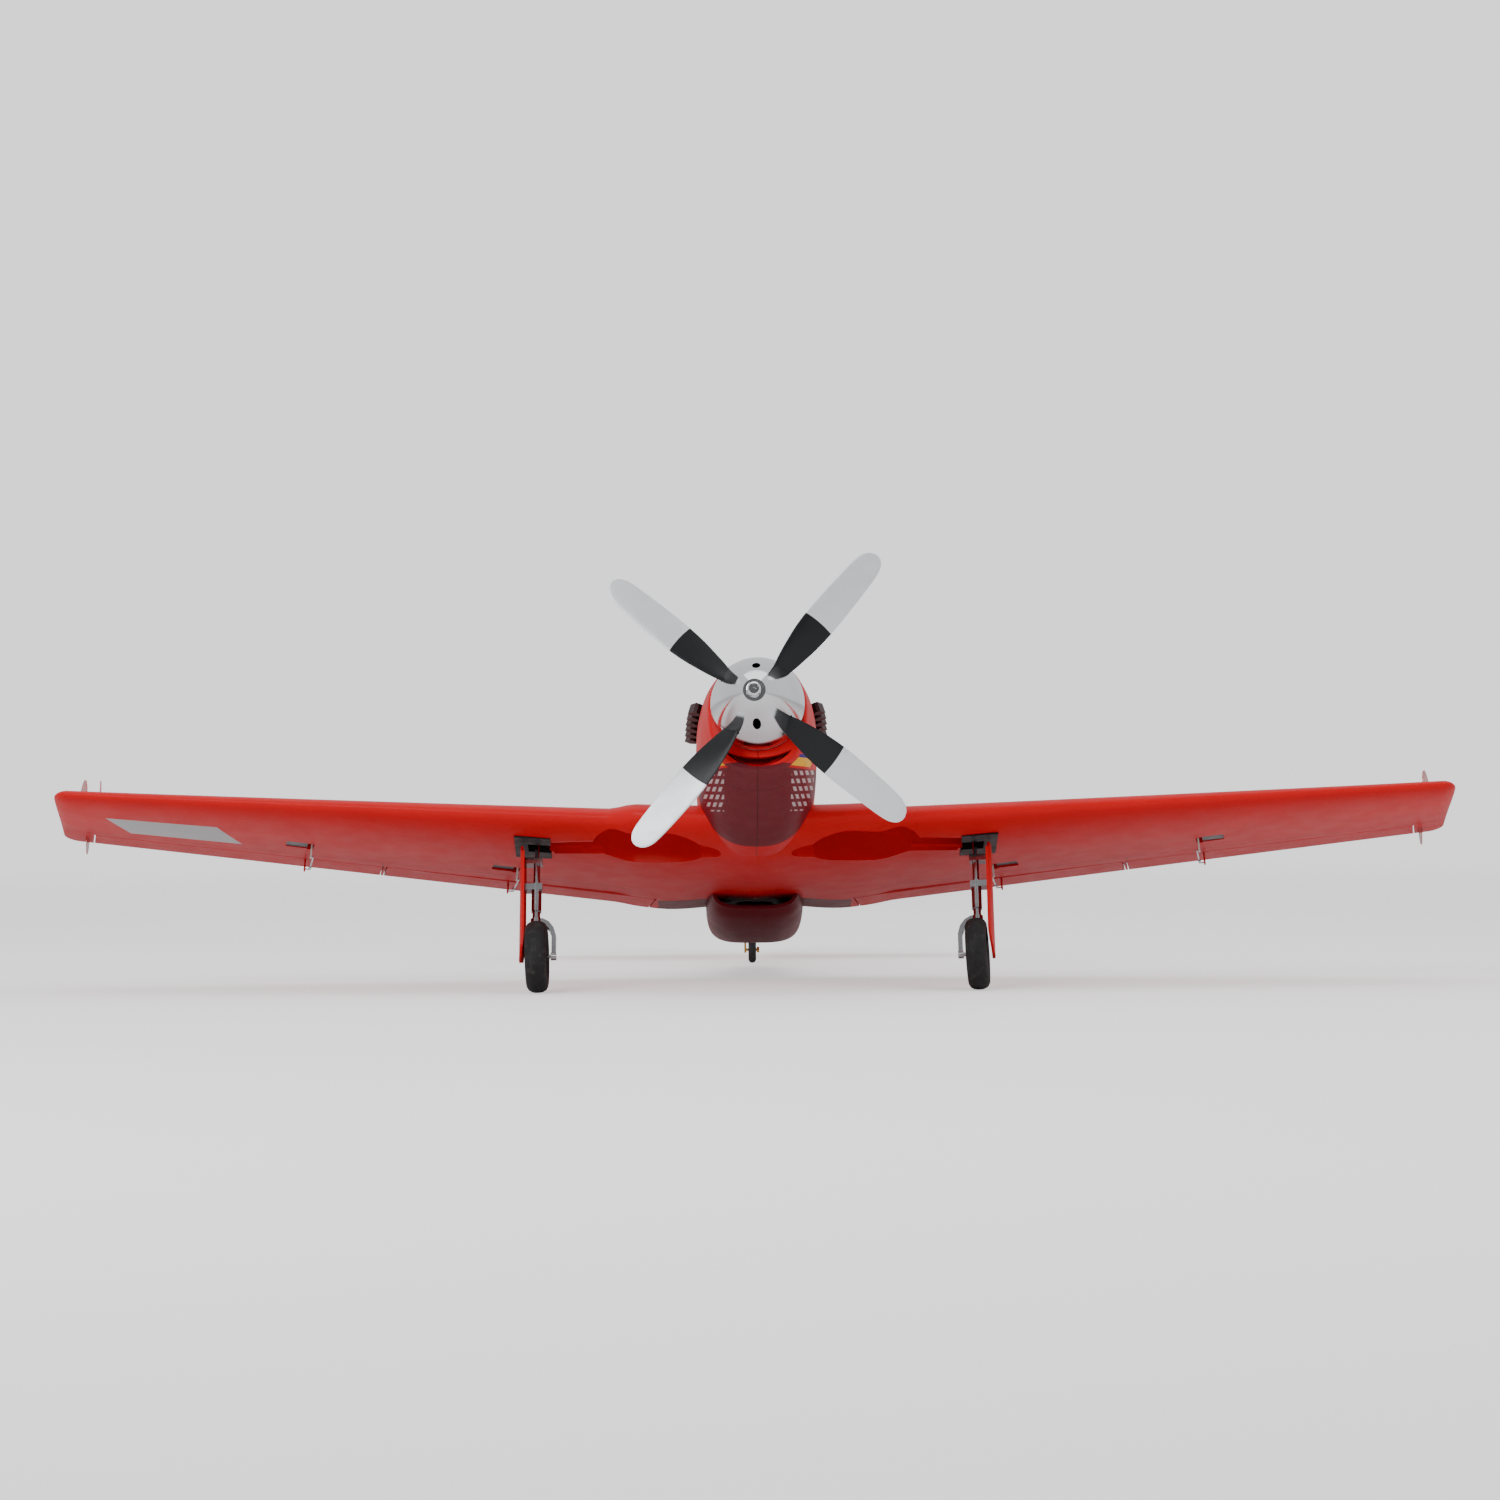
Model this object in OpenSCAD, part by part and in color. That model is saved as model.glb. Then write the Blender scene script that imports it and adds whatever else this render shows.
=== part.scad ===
// Four-blade foam racing airplane for radio control, standing tail-low on its wheels.
// Frame: +X towards the left wing tip, nose towards -Y, +Z up, ground at z = 0.
// "Body" coordinates inside park() are [x, s, z]: s runs aft from the spinner's base along
// the fuselage line and z is measured from that line. All lengths are millimetres.

/* [Stance] */
// Nose-up angle of the fuselage when it stands on its wheels
park_angle = 13; // [12.5:0.5:13.5]
// Height of the centre of the spinner's base above the ground
nose_height = 290; // [289:1:291]
// Distance of the spinner's base in front of the model's middle
nose_reach = 533.8; // [520:0.1:540]
// Tilt of the thrust line: down, and towards the right wing
thrust_tilt = 3; // [0:0.5:4]

/* [Wing] */
// Half span at the trailing corner of the tip
half_span = 729; // [725:1:735]
// Dihedral of each wing panel
dihedral = 3.7; // [3:0.1:4]
// Height of the leading edge at the centre line
wing_drop = -71.3; // [-73:0.1:-70]
// Leading edge station at the centre line
wing_front = 223; // [221:1:225]
// Trailing edge station at the centre line
wing_rear = 562; // [560:1:565]
// Trailing edge station at the tip
tip_rear = 433; // [430:1:436]
// Incidence of the wing panels outside the centre section
incidence = 5.1; // [4.8:0.1:5.4]

/* [Propeller] */
// Propeller radius
prop_radius = 183.5; // [175:0.5:184]
// Pitch of the blades
prop_pitch = 203; // [178:1:229]
// Rest angle of the first blade, anticlockwise from +X seen from the front
prop_rest = 49.5; // [45:0.5:55]
// Spinner base radius
spinner_radius = 45.8; // [45:0.1:46.5]
// Spinner length without its nut
spinner_length = 77; // [75:0.5:79]

/* [Landing gear] */
// Main wheel radius
wheel_radius = 36.5; // [35:0.5:37]
// Main tyre width
tyre_width = 22; // [20:0.5:22]
// Half of the main wheel track
half_track = 223.8; // [222:0.2:224]
// Turn of the left wheel's front towards the centre line
toe_left = 7; // [-2:0.5:7]
// Turn of the right wheel's front towards the centre line
toe_right = -2; // [-2:0.5:7]
// Tail wheel radius
tail_wheel_radius = 15; // [14:0.5:15]

/* [Control surfaces] */
// Arm length of every servo arm and control horn
horn_length = 17; // [15:0.5:18]
// Gap between a surface and the cove it turns in
cove_gap = 0.85; // [0.7:0.05:1]

/* [Hidden] */
cut = 300;      // reach of the cutting blocks
eps = 0.15;     // clearance between foam parts that are glued or pushed together

function sgn(v) = v < 0 ? -1 : 1;
function clamp01(v) = max(0, min(1, v));
function blend01(v) = let (t = clamp01(v)) t * t * (3 - 2 * t);
function mix(a, b, t) = a + (b - a) * t;

// Smooth value in column c of rows sorted by their first column, at t
function row_slope(rows, k, c) =
  let (n = len(rows), i = max(0, k - 1), j = min(n - 1, k + 1))
  (rows[j][c] - rows[i][c]) / (rows[j][0] - rows[i][0]);
function curve(rows, t, c = 1) =
  let (
    n = len(rows),
    i = max([for (k = [0:n - 2]) (k == 0 || rows[k][0] <= t) ? k : 0]),
    a = rows[i], b = rows[i + 1], h = b[0] - a[0], u = clamp01((t - a[0]) / h)
  )
  a[c] * (2 * u ^ 3 - 3 * u ^ 2 + 1) + h * row_slope(rows, i, c) * (u ^ 3 - 2 * u ^ 2 + u)
  + b[c] * (3 * u ^ 2 - 2 * u ^ 3) + h * row_slope(rows, i + 1, c) * (u ^ 3 - u ^ 2);

// Closed skin through rings that all have the same number of points
module loft(rings) {
  n = len(rings[0]);
  m = len(rings);
  sides = [
    for (j = [0:m - 2], i = [0:n - 1])
      let (a = j * n + i, b = j * n + (i + 1) % n)
      each [[a, b, b + n], [a, b + n, a + n]]
  ];
  first = [for (i = [n - 1:-1:0]) i];
  last = [for (i = [0:n - 1]) (m - 1) * n + i];
  polyhedron(points = [for (r = rings) each r], faces = concat([first], sides, [last]), convexity = 8);
}

// One mesh for a moulded shape that has no bores
module moulded() resize([0, 0, 0]) children();

// ---------------------------------------------------------------- frames
module park() translate([0, -nose_reach, nose_height]) rotate([-park_angle, 0, 0]) children();
// Thrust frame: local z runs forward along the motor shaft from the spinner's base
module thrust()
  park() rotate([thrust_tilt, 0, -thrust_tilt]) rotate([90, 0, 0]) children();
module turn_x() rotate([0, 90, 0]) children();
module turn_s() rotate([-90, 0, 0]) children();
// What lies on the left side, or with side -1 on the right side
module keep_side(side) intersection() {
  children();
  translate([side > 0 ? 0 : -3 * cut, -cut, -2 * cut]) cube([3 * cut, 6 * cut, 4 * cut]);
}
module both_sides() {
  children();
  mirror([1, 0, 0]) children();
}

// ---------------------------------------------------------------- fuselage form
// [s, top, bottom, half width, middle height, upper roundness, lower roundness]
body_rows = [
  [0, 46.5, -61.8, 47, -2, 2.0, 2.6],
  [25, 50, -66, 51, -3, 2.05, 2.45],
  [60, 54, -74, 55.5, -4, 2.1, 2.35],
  [120, 58, -86, 59.5, -7, 2.2, 2.3],
  [200, 61.5, -97, 61, -12, 2.3, 2.4],
  [300, 63, -97.5, 61, -15, 2.3, 2.4],
  [360, 58, -97, 60, -17, 2.3, 2.4],
  [440, 55, -96, 58.5, -19, 2.2, 2.3],
  [560, 54, -93, 54.5, -18, 2.1, 2.2],
  [680, 52, -84, 46.5, -13, 2.0, 2.1],
  [800, 48, -67, 36.5, -6, 2.0, 2.0],
  [900, 43, -50, 27, 0, 2.0, 2.0],
  [1000, 37, -30, 16.5, 6, 2.0, 2.0],
  [1060, 33, -18, 9.5, 9, 2.0, 2.0],
  [1086, 31, -12, 6.5, 10, 2.0, 2.0]
];
ring_points = 28;
nose_blend = 60; // the front face follows the tilted thrust line, fading out by this station

function super_point(a, half, top, middle, bottom, up, down) =
  let (power = cos(a) >= 0 ? 2 / up : 2 / down, tall = cos(a) >= 0 ? top - middle : middle - bottom)
  [half * sgn(sin(a)) * abs(sin(a)) ^ power, middle + tall * sgn(cos(a)) * abs(cos(a)) ^ power];

function nose_shear(x, s, z) =
  s - (x + z) * tan(thrust_tilt) * clamp01(1 - s / nose_blend) ^ 2;

function body_ring(s, inset) = [
  for (i = [0:ring_points - 1])
    let (
      p = super_point(
        -360 * i / ring_points,
        max(0.5, curve(body_rows, s, 3) - inset),
        curve(body_rows, s, 1) - inset,
        curve(body_rows, s, 4),
        curve(body_rows, s, 2) + inset,
        curve(body_rows, s, 5),
        curve(body_rows, s, 6)
      )
    )
    [p.x, nose_shear(p.x, s, p.y), p.y]
];
module body_form(from, to, step, inset = 0)
  loft([for (i = [0:ceil((to - from) / step)]) body_ring(min(to, from + i * step), inset)]);

// ---------------------------------------------------------------- wing form
tip_round = 16;
section_points = 14;
root_extension = 22;

function lead(x) = wing_front + x * tan(dihedral) - root_extension * blend01((152 - x) / 30);
function trail(x) = mix(wing_rear, tip_rear, x / half_span);
function lead_height(x) = wing_drop + x * tan(dihedral);
centre_incidence = 2.6; // incidence at the centre line
panel_start = 106;      // the outer panels have their full incidence from here
function wing_twist(x) = mix(centre_incidence, incidence, blend01(x / panel_start)) - 0.3 * x / half_span;
function wing_thickness(x) = mix(0.148, 0.112, x / half_span);
function tip_shape(x) = let (u = clamp01((x - (half_span - tip_round)) / tip_round))
  1 - sqrt(max(0, 1 - u * u));
// Half thickness of a wing section of unit chord, with a blunt trailing edge
function half_thick(u) =
  5 * (0.2969 * sqrt(u) - 0.126 * u - 0.3516 * u ^ 2 + 0.2843 * u ^ 3 - 0.0985 * u ^ 4);
function camber(u) = 0.06 * u * (1 - u);

// Point on the wing: u from 0 at the leading edge to 1, side +1 on top and -1 below
function wing_point(x, u, side, grow) =
  let (
    round = tip_shape(x),
    front = lead(x) + 26 * round - grow,
    chord = trail(x) - 10 * round + grow - front,
    thick = chord * wing_thickness(x) * (1 - 0.75 * round),
    skin = thick * half_thick(u) + grow,
    belly = side < 0 ? 3 * blend01((60 - x) / 60) * blend01(u / 0.1) * blend01((1 - u) / 0.2) : 0,
    lean = 7 * (u - 1) * blend01((x - 600) / 125)
  )
  [x + lean, front + chord * u,
   lead_height(x) - chord * u * tan(wing_twist(x)) + chord * camber(u) + side * skin - belly];

function wing_section(x, grow) = concat(
  [for (i = [0:section_points]) wing_point(x, (1 - cos(180 * i / section_points)) / 2, 1, grow)],
  [for (i = [section_points:-1:1]) wing_point(x, (1 - cos(180 * i / section_points)) / 2, -1, grow)]
);
wing_stations = [
  0, 24, 48, 72, 95, 122, 137, 152, 220, 300, 393, 480, 560, 640,
  for (i = [0:6]) half_span - tip_round + tip_round * sin(15 * i) - (i == 6 ? 0.02 : 0)
];
module wing_form(grow = 0) loft([for (x = wing_stations) wing_section(x, grow)]);

// Height of the middle of the wing's thickness at a station
function wing_middle(x, s) =
  let (u = (s - lead(x)) / (trail(x) - lead(x)))
  (wing_point(x, u, 1, 0).z + wing_point(x, u, -1, 0).z) / 2;
function wing_radius(x, s) =
  let (u = (s - lead(x)) / (trail(x) - lead(x)))
  (wing_point(x, u, 1, 0).z - wing_point(x, u, -1, 0).z) / 2;
function wing_under(x, s) = wing_point(x, (s - lead(x)) / (trail(x) - lead(x)), -1, 0).z;

// ---------------------------------------------------------------- hinge lines
// Each is [inner point, outer point, inner radius, outer radius] on the left side
function hinge_at(x, chord) =
  let (s = trail(x) - chord) [x, s, wing_middle(x, s)];
function hinge_line(x1, c1, x2, c2) =
  let (a = hinge_at(x1, c1), b = hinge_at(x2, c2))
  [a, b, wing_radius(x1, a.y) - 0.1, wing_radius(x2, b.y) - 0.1];
flap_hinge = hinge_line(106, 50, 389, 44.5);
aileron_hinge = hinge_line(394, 44, 693, 36);

function unit3(v) = v / norm(v);
function hinge_axis(h) = unit3(h[1] - h[0]);
function hinge_length(h) = norm(h[1] - h[0]);
// Local x along the hinge, y aft, z up
module at_hinge(h, along = 0) {
  u = hinge_axis(h);
  v = unit3(cross([0, 0, 1], u));
  w = cross(u, v);
  o = h[0] + u * along;
  multmatrix([[u.x, v.x, w.x, o.x], [u.y, v.y, w.y, o.y], [u.z, v.z, w.z, o.z], [0, 0, 0, 1]]) children();
}
// Rounded nose of a surface, or the cove that it turns in
module hinge_roll(h, grow = 0, over = 0)
  at_hinge(h, -over) turn_x()
    cylinder(h = hinge_length(h) + 2 * over, r1 = h[2] + grow, r2 = h[3] + grow, $fn = 32);
// Everything behind a hinge line, between its ends
module hinge_block(h, over = 0)
  at_hinge(h, -over) translate([0, 0, -40]) cube([hinge_length(h) + 2 * over, 120, 80]);

// Linkage of one surface, measured in its link frame: x along the hinge, y aft, and the
// horn and the servo arm both point along -z. Each is [shaft to hinge line, shaft below it].
wing_link = [60, -1];
elevator_link = [110, 28];
rudder_link = [187, 13];
aileron_link_x = 82;     // distance of the linkage from the aileron's inner end
flap_link_x = 158;
elevator_link_x = 22;    // place of the elevator's linkage across the fuselage
rudder_link_z = 8;       // height of the rudder's linkage
horn_thick = 1.6;
horn_front = 3;          // the horn's foot starts this far behind the hinge line
horn_rear = 12;
skin_gap = 0.1;
link_hole = 0.72;
pin_radius = 0.65;
wire_radius = 0.8;
wire_x = -5.2;           // the wire runs beside the arm and the horn
arm_x = -3.4;
module at_elevator_link()
  translate([elevator_link_x, tail_hinge_s, tail_height]) mirror([1, 0, 0]) children();
module at_rudder_link() translate([0, rudder_hinge_s, rudder_link_z]) turn_x() children();
module at_shaft(link) translate([0, -link[0], -link[1]]) children();

// A horn: its foot lies on the skin, whose depth is given at the foot's two ends
module horn(front_depth, rear_depth) color([0.7, 0.07, 0.07]) difference() {
  translate([-horn_thick / 2, 0, 0]) turn_x() linear_extrude(height = horn_thick) polygon([
    [horn_length + 2.6, -1.6], [horn_length + 2.6, 1.6], [horn_length - 1, 3],
    [rear_depth, horn_rear], [front_depth, horn_front], [horn_length - 1, -3]
  ]);
  translate([-2, 0, -horn_length]) turn_x() cylinder(h = 4, r = link_hole, $fn = 24);
}

// ---------------------------------------------------------------- main gear places
pivot = [225, 302, -66];
leg_rake = 16.1;
leg_length = (nose_height + pivot.z * cos(park_angle) - pivot.y * sin(park_angle) - wheel_radius)
  / cos(park_angle + leg_rake);
wheel_x = half_track - pivot.x;
retract_turn = 87.5;
plate_front = 270;
plate_rear = 334;
plate_x = 229.5;
plate_width = 37;
plate_slope = atan(
  (wing_under(plate_x, plate_rear) - wing_under(plate_x, plate_front)) / (plate_rear - plate_front)
);
// Leg frame: local z up along the leg from the wheel, x outboard, turned by the wheel's toe
module at_leg(toe) translate(pivot) rotate([-leg_rake, 0, 0]) rotate([0, 0, -toe]) children();
// The same frame with the leg folded into the wing
module at_folded_leg(toe) translate(pivot) rotate([0, retract_turn, 0]) rotate([-leg_rake, 0, 0])
  rotate([0, 0, -toe]) children();
// Frame of the retract's plate: its outer face lies on the wing's skin
module at_plate()
  translate([plate_x, (plate_front + plate_rear) / 2, wing_under(plate_x, (plate_front + plate_rear) / 2)])
    rotate([plate_slope, -dihedral, 0]) children();

// ---------------------------------------------------------------- tail places
tail_hinge_s = 1054;
tail_height = 40;
rudder_hinge_s = 1092;
tail_wheel_s = 888;
tail_post_s = 876;
tail_wheel_z = (tail_wheel_radius - nose_height + tail_wheel_s * sin(park_angle)) / cos(park_angle);

// ---------------------------------------------------------------- fin and rudder form
// [z, leading edge, trailing edge of the rudder, half thickness at the hinge]
fin_rows = [
  [-14, 930, 1122, 5.5],
  [0, 930, 1139, 6.2],
  [30, 932, 1152, 6.4],
  [60, 952, 1156, 6.0],
  [110, 990, 1152, 5.0],
  [150, 1019, 1142, 4.2],
  [172, 1037, 1131, 3.6],
  [183, 1054, 1120, 2.6],
  [186.5, 1070, 1108, 1.4]
];
fin_heights = [-14, -5, 8, 20, 32, 46, 60, 85, 110, 130, 150, 163, 173, 180, 184, 186.5];
fin_points = 9;
function fin_half(z, s) =
  let (front = curve(fin_rows, z, 1), rear = curve(fin_rows, z, 2), t = curve(fin_rows, z, 3))
  s <= rudder_hinge_s
    ? t * sqrt(max(0, 1 - ((rudder_hinge_s - s) / max(1, rudder_hinge_s - front)) ^ 2.6))
    : mix(t, 0.7, (s - rudder_hinge_s) / max(1, rear - rudder_hinge_s));
function fin_section(z) =
  let (
    front = curve(fin_rows, z, 1),
    rear = curve(fin_rows, z, 2),
    stations = concat(
      [for (i = [0:fin_points]) mix(front, rudder_hinge_s, 1 - cos(90 * i / fin_points))],
      [mix(rudder_hinge_s, rear, 0.5), rear]
    ),
    n = len(stations)
  )
  concat(
    [for (i = [0:n - 1]) [-max(0.05, fin_half(z, stations[i])), stations[i], z]],
    [for (i = [n - 1:-1:0]) [max(0.05, fin_half(z, stations[i])), stations[i], z]]
  );
module fin_form() loft([for (z = fin_heights) fin_section(z)]);
// Low fillet that runs forward from the fin
module dorsal_fillet() hull() {
  translate([0, 800, 40]) sphere(r = 3, $fn = 16);
  translate([0, 965, 66]) sphere(r = 4, $fn = 16);
  translate([0, 985, 34]) sphere(r = 5, $fn = 16);
}
module rudder_zone(grow) {
  translate([-20, rudder_hinge_s, -40]) cube([40, 120, 2 * cut]);
  translate([0, rudder_hinge_s, -40]) cylinder(h = 2 * cut, r = 6.4 + grow, $fn = 32);
}

// ---------------------------------------------------------------- stabilizer form
tail_span = 258;
function tail_lead(x) = mix(950, 986, x / tail_span) + 34 * tail_tip(x);
function tail_trail(x) = mix(1096, 1084, x / tail_span) - 12 * tail_tip(x);
function tail_tip(x) = let (u = clamp01((x - tail_span + 18) / 18)) 1 - sqrt(max(0, 1 - u * u));
function tail_section(x, sx, grow) =
  let (a = tail_lead(x) - grow, c = tail_trail(x) + grow - a, t = 0.1 * (1 - 0.6 * tail_tip(x)))
  [for (i = [0:19])
    let (u = (1 - cos(18 * i)) / 2, side = i <= 10 ? 1 : -1)
    [sx * x, a + c * u, tail_height + side * (c * t * half_thick(u) + grow)]];
tail_stations = [0, 60, 120, 180, for (i = [0:6]) tail_span - 18 + 18 * sin(15 * i) - (i == 6 ? 0.02 : 0)];
module tail_form(grow = 0) loft(concat(
  [for (i = [len(tail_stations) - 1:-1:1]) tail_section(tail_stations[i], -1, grow)],
  [for (x = tail_stations) tail_section(x, 1, grow)]
));
elevator_radius = 5;
elevator_inner = 13;
module elevator_zone(grow) both_sides() {
  translate([elevator_inner - grow, tail_hinge_s, tail_height - 30]) cube([cut, 120, 60]);
  translate([elevator_inner - grow, tail_hinge_s, tail_height]) turn_x()
    cylinder(h = tail_span - elevator_inner - 12 + 2 * grow, r = elevator_radius + grow, $fn = 32);
}
elevator_outer = tail_span - 12;
module elevator_span(grow) both_sides()
  translate([elevator_inner - grow, tail_hinge_s - 20, tail_height - 30])
    cube([elevator_outer - elevator_inner + 2 * grow, 160, 60]);

// ---------------------------------------------------------------- scoop form
// [s, bottom, half width]
scoop_rows = [
  [468, -111, 46.5], [490, -118, 50], [540, -122, 52.5], [620, -118.5, 51.5],
  [680, -108, 47], [740, -94, 40], [790, -80, 31]
];
scoop_top = -70;
function scoop_ring(s, inset) = [
  for (i = [0:17])
    let (p = super_point(
      -360 * i / 18, curve(scoop_rows, s, 2) - inset, scoop_top, scoop_top - 10,
      curve(scoop_rows, s, 1) + inset, 2, 3.6
    ))
    [p.x, s, p.y]
];
module scoop_form(from, to, inset = 0)
  loft([for (i = [0:10]) scoop_ring(mix(from, to, i / 10), inset)]);

// ---------------------------------------------------------------- canopy form
// [s, top, half width at the sill]
canopy_rows = [
  [282, 63.5, 24], [300, 73, 29], [322, 86, 32.5], [345, 95, 34], [380, 101.5, 35], [420, 103, 35.5],
  [470, 98, 34], [520, 86, 30], [560, 71, 23], [584, 57, 14]
];
canopy_sill = 47;
function canopy_ring(s, inset) = [
  for (i = [0:14])
    let (
      a = 90 - 180 * i / 14,
      half = curve(canopy_rows, s, 2) - inset,
      tall = curve(canopy_rows, s, 1) - inset - canopy_sill
    )
    [half * sgn(sin(a)) * abs(sin(a)) ^ 0.8, s, canopy_sill + tall * max(0, cos(a)) ^ 0.85]
];
module canopy_form(from, to, inset, count = 12)
  loft([for (i = [0:count]) let (s = mix(from, to, i / count)) concat(
    canopy_ring(s, inset),
    [[-curve(canopy_rows, s, 2) + inset, s, 20], [curve(canopy_rows, s, 2) - inset, s, 20]]
  )]);
// Window areas of the windscreen and the sliding hood
module window_zones() {
  translate([-60, 300, 58]) cube([120, 37, 60]);
  translate([-60, 346, 58]) cube([120, 200, 60]);
}

// ---------------------------------------------------------------- hatch
hatch_from = 66;
hatch_to = 281;
hatch_floor = 26;
module hatch_zone(gap)
  translate([-80, hatch_from + gap, hatch_floor + gap]) cube([160, hatch_to - hatch_from - 2 * gap, 80]);

// ---------------------------------------------------------------- fuselage
shell = 5;
module fuselage_hollow() {
  body_form(21, 1040, 60, shell);
}
module fuselage_form() {
  body_form(22.2, 1085, 30);
  fin_form();
  dorsal_fillet();
}
// What is taken out of the fuselage for the parts that sit in it
module fuselage_cuts() {
  hatch_zone(0);
  wing_form(eps);
  mirror([1, 0, 0]) wing_form(eps);
  tail_form(eps);
  rudder_zone(cove_gap);
  // Slot that the elevator's joiner swings in
  translate([-12.5, tail_hinge_s - 7, tail_height - 7]) cube([25, 60, 14]);
  // Cockpit opening
  translate([-27, 312, 40]) cube([54, 125, 40]);
  // Air from the scoop's intake
  translate([-34, 480, -130]) cube([68, 70, 60]);
  // Pocket of the tail gear's bracket
  translate([-7 - eps, 866 - eps, -90]) cube([14 + 2 * eps, 24 + 2 * eps, 48 + eps]);
}
module fuselage_left() park() color([0.86, 0.1, 0.08]) moulded() difference() {
  keep_side(1) fuselage_form();
  fuselage_hollow();
  fuselage_cuts();
  at_elevator_link() at_shaft(elevator_link) servo_room();
}
module fuselage_right() park() color([0.86, 0.1, 0.08]) moulded() difference() {
  keep_side(-1) fuselage_form();
  fuselage_hollow();
  fuselage_cuts();
  at_rudder_link() at_shaft(rudder_link) {
    servo_room();
    // Slot that the arm swings in
    translate([-5, -12, -40]) cube([5.5, 24, 40]);
  }
}

// ---------------------------------------------------------------- nose ring
// The chin intake lies between two arcs: [radius, height of its centre]
chin_upper = [77, 25];
chin_lower = [42.6, -17.9];
module chin_arc(arc) translate([0, -30, arc[1]]) turn_s() cylinder(h = 60, r = arc[0], $fn = 96);
module nose_ring() park() color([0.8, 0.09, 0.08]) moulded() difference() {
  loft([
    body_ring(4, 3.2), body_ring(4.6, 1.7), body_ring(6, 0.6),
    body_ring(9, 0), body_ring(15, 0), body_ring(22, 0)
  ]);
  loft([body_ring(11, 4), body_ring(23, 4)]);
  rotate([thrust_tilt, 0, -thrust_tilt]) rotate([-90, 0, 0])
    translate([0, 0, -20]) cylinder(h = 60, r = 33, $fn = 40);
  difference() {
    chin_arc(chin_lower);
    chin_arc(chin_upper);
  }
}

// ---------------------------------------------------------------- hatch over the battery bay
module hatch_deck() park() color([0.86, 0.1, 0.08]) moulded() {
  intersection() {
    difference() {
      body_form(40, 300, 20);
      body_form(30, 310, 40, shell);
    }
    hatch_zone(0.4);
  }
  // Locating tongues of foam behind the front edge
  both_sides() translate([14, hatch_from + 8, 40]) cube([10, 6, 12]);
}

// ---------------------------------------------------------------- canopy
module canopy_glass() park() color([0.75, 0.82, 0.88, 0.4]) moulded() intersection() {
  difference() {
    canopy_form(285, 578, 1.2);
    canopy_form(283, 580, 2.2);
    body_form(260, 620, 40, -0.2);
  }
  window_zones();
}
module canopy_frame() park() color([0.86, 0.1, 0.08]) moulded() difference() {
  canopy_form(282, 584, 0);
  canopy_form(281, 570, 2.4);
  body_form(260, 620, 25, -0.15);
  intersection() {
    canopy_form(283, 582, -5);
    window_zones();
  }
}
module cockpit_tub() park() {
  color([0.12, 0.12, 0.13]) difference() {
    translate([-26, 313, 20]) cube([52, 123, 34]);
    translate([-24, 333, 22]) cube([48, 101, 40]);
    translate([-24, 315, 44]) cube([48, 22, 20]);
  }
  // Instrument panel, seat and stick
  color([0.07, 0.07, 0.08]) translate([-22, 331, 40]) cube([44, 2, 20]);
  color([0.2, 0.2, 0.2]) {
    translate([-12, 388, 22]) cube([24, 22, 8]);
    translate([-12, 408, 22]) cube([24, 4, 40]);
  }
  color([0.1, 0.1, 0.1]) translate([0, 372, 21]) cylinder(h = 18, r = 1.4, $fn = 24);
}

// ---------------------------------------------------------------- belly scoop and exhausts
module belly_scoop() park() color([0.42, 0.13, 0.15]) moulded() difference() {
  intersection() {
    scoop_form(468, 790);
    translate([-80, 460, -160]) cube([160, 360, 88]);
  }
  scoop_form(460, 700, 3);
  translate([-28, 690, -106]) cube([56, 120, 20]);
  body_form(440, 860, 28, -eps);
  wing_form(eps);
  mirror([1, 0, 0]) wing_form(eps);
}
stack_count = 6;
// Half width of the fuselage at a station and height, above its widest line
function wall_half(s, z) =
  let (
    middle = curve(body_rows, s, 4),
    up = curve(body_rows, s, 5),
    share = (z - middle) / (curve(body_rows, s, 1) - middle)
  )
  curve(body_rows, s, 3) * (1 - share ^ up) ^ (1 / up);
// Lean of the cowl's side where the stubs stand
cowl_lean = 18;
module exhaust_stacks() park() color([0.2, 0.05, 0.06]) both_sides()
  for (k = [0:stack_count - 1])
    let (s = 92 + 20.5 * k, z = 16.5 - 0.9 * k)
      translate([wall_half(s, z) + 0.25, s, z]) rotate([0, -cowl_lean, 0]) exhaust_stub();
// One stub: it leaves the cowl's side, leans back and out, and has its mouth at the rear
module exhaust_stub() difference() {
  translate([0, 0, -5]) linear_extrude(10)
    polygon([[0, 0], [3.2, -2], [6.6, -1.4], [12.4, 14.1], [6.2, 15.9], [0.1, 9]]);
  rotate([0, 0, -16]) translate([3.2, 9, -3.6]) cube([3.4, 9, 7.2]);
}

// ---------------------------------------------------------------- wing
// Room for the folded leg, wheel and door: each piece is open downwards
well_depth = 100;
module gear_well(toe) {
  at_folded_leg(toe) {
    hull() for (outward = [0, 37])
      translate([wheel_x - tyre_width / 2 - 1.2, 0, outward - leg_length]) turn_x()
      cylinder(h = well_depth, r = wheel_radius + 3, $fn = 48);
    translate([-8.5, -10, -leg_length + 20]) cube([well_depth, 20, leg_length - 26]);
    // The fork's arm and the axle's end
    translate([-21.8, -8, -leg_length - 7]) cube([well_depth, 16, 62]);
    // The door
    translate([9, -18.5, -leg_length - 9]) cube([well_depth, 37, leg_length - 5]);
  }
  at_plate() retract_form(0.3, well_depth);
  // Shallow end of the well, towards the centre line
  hull() {
    translate([52, 263, -184]) cylinder(h = well_depth, r = 16, $fn = 32);
    translate([82, 263, -181]) cylinder(h = well_depth, r = 26, $fn = 32);
  }
}
module wing_servo_rooms() {
  at_hinge(aileron_hinge, aileron_link_x) at_shaft(wing_link) wing_servo_room();
  at_hinge(flap_hinge, flap_link_x) at_shaft(wing_link) wing_servo_room();
}
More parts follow.
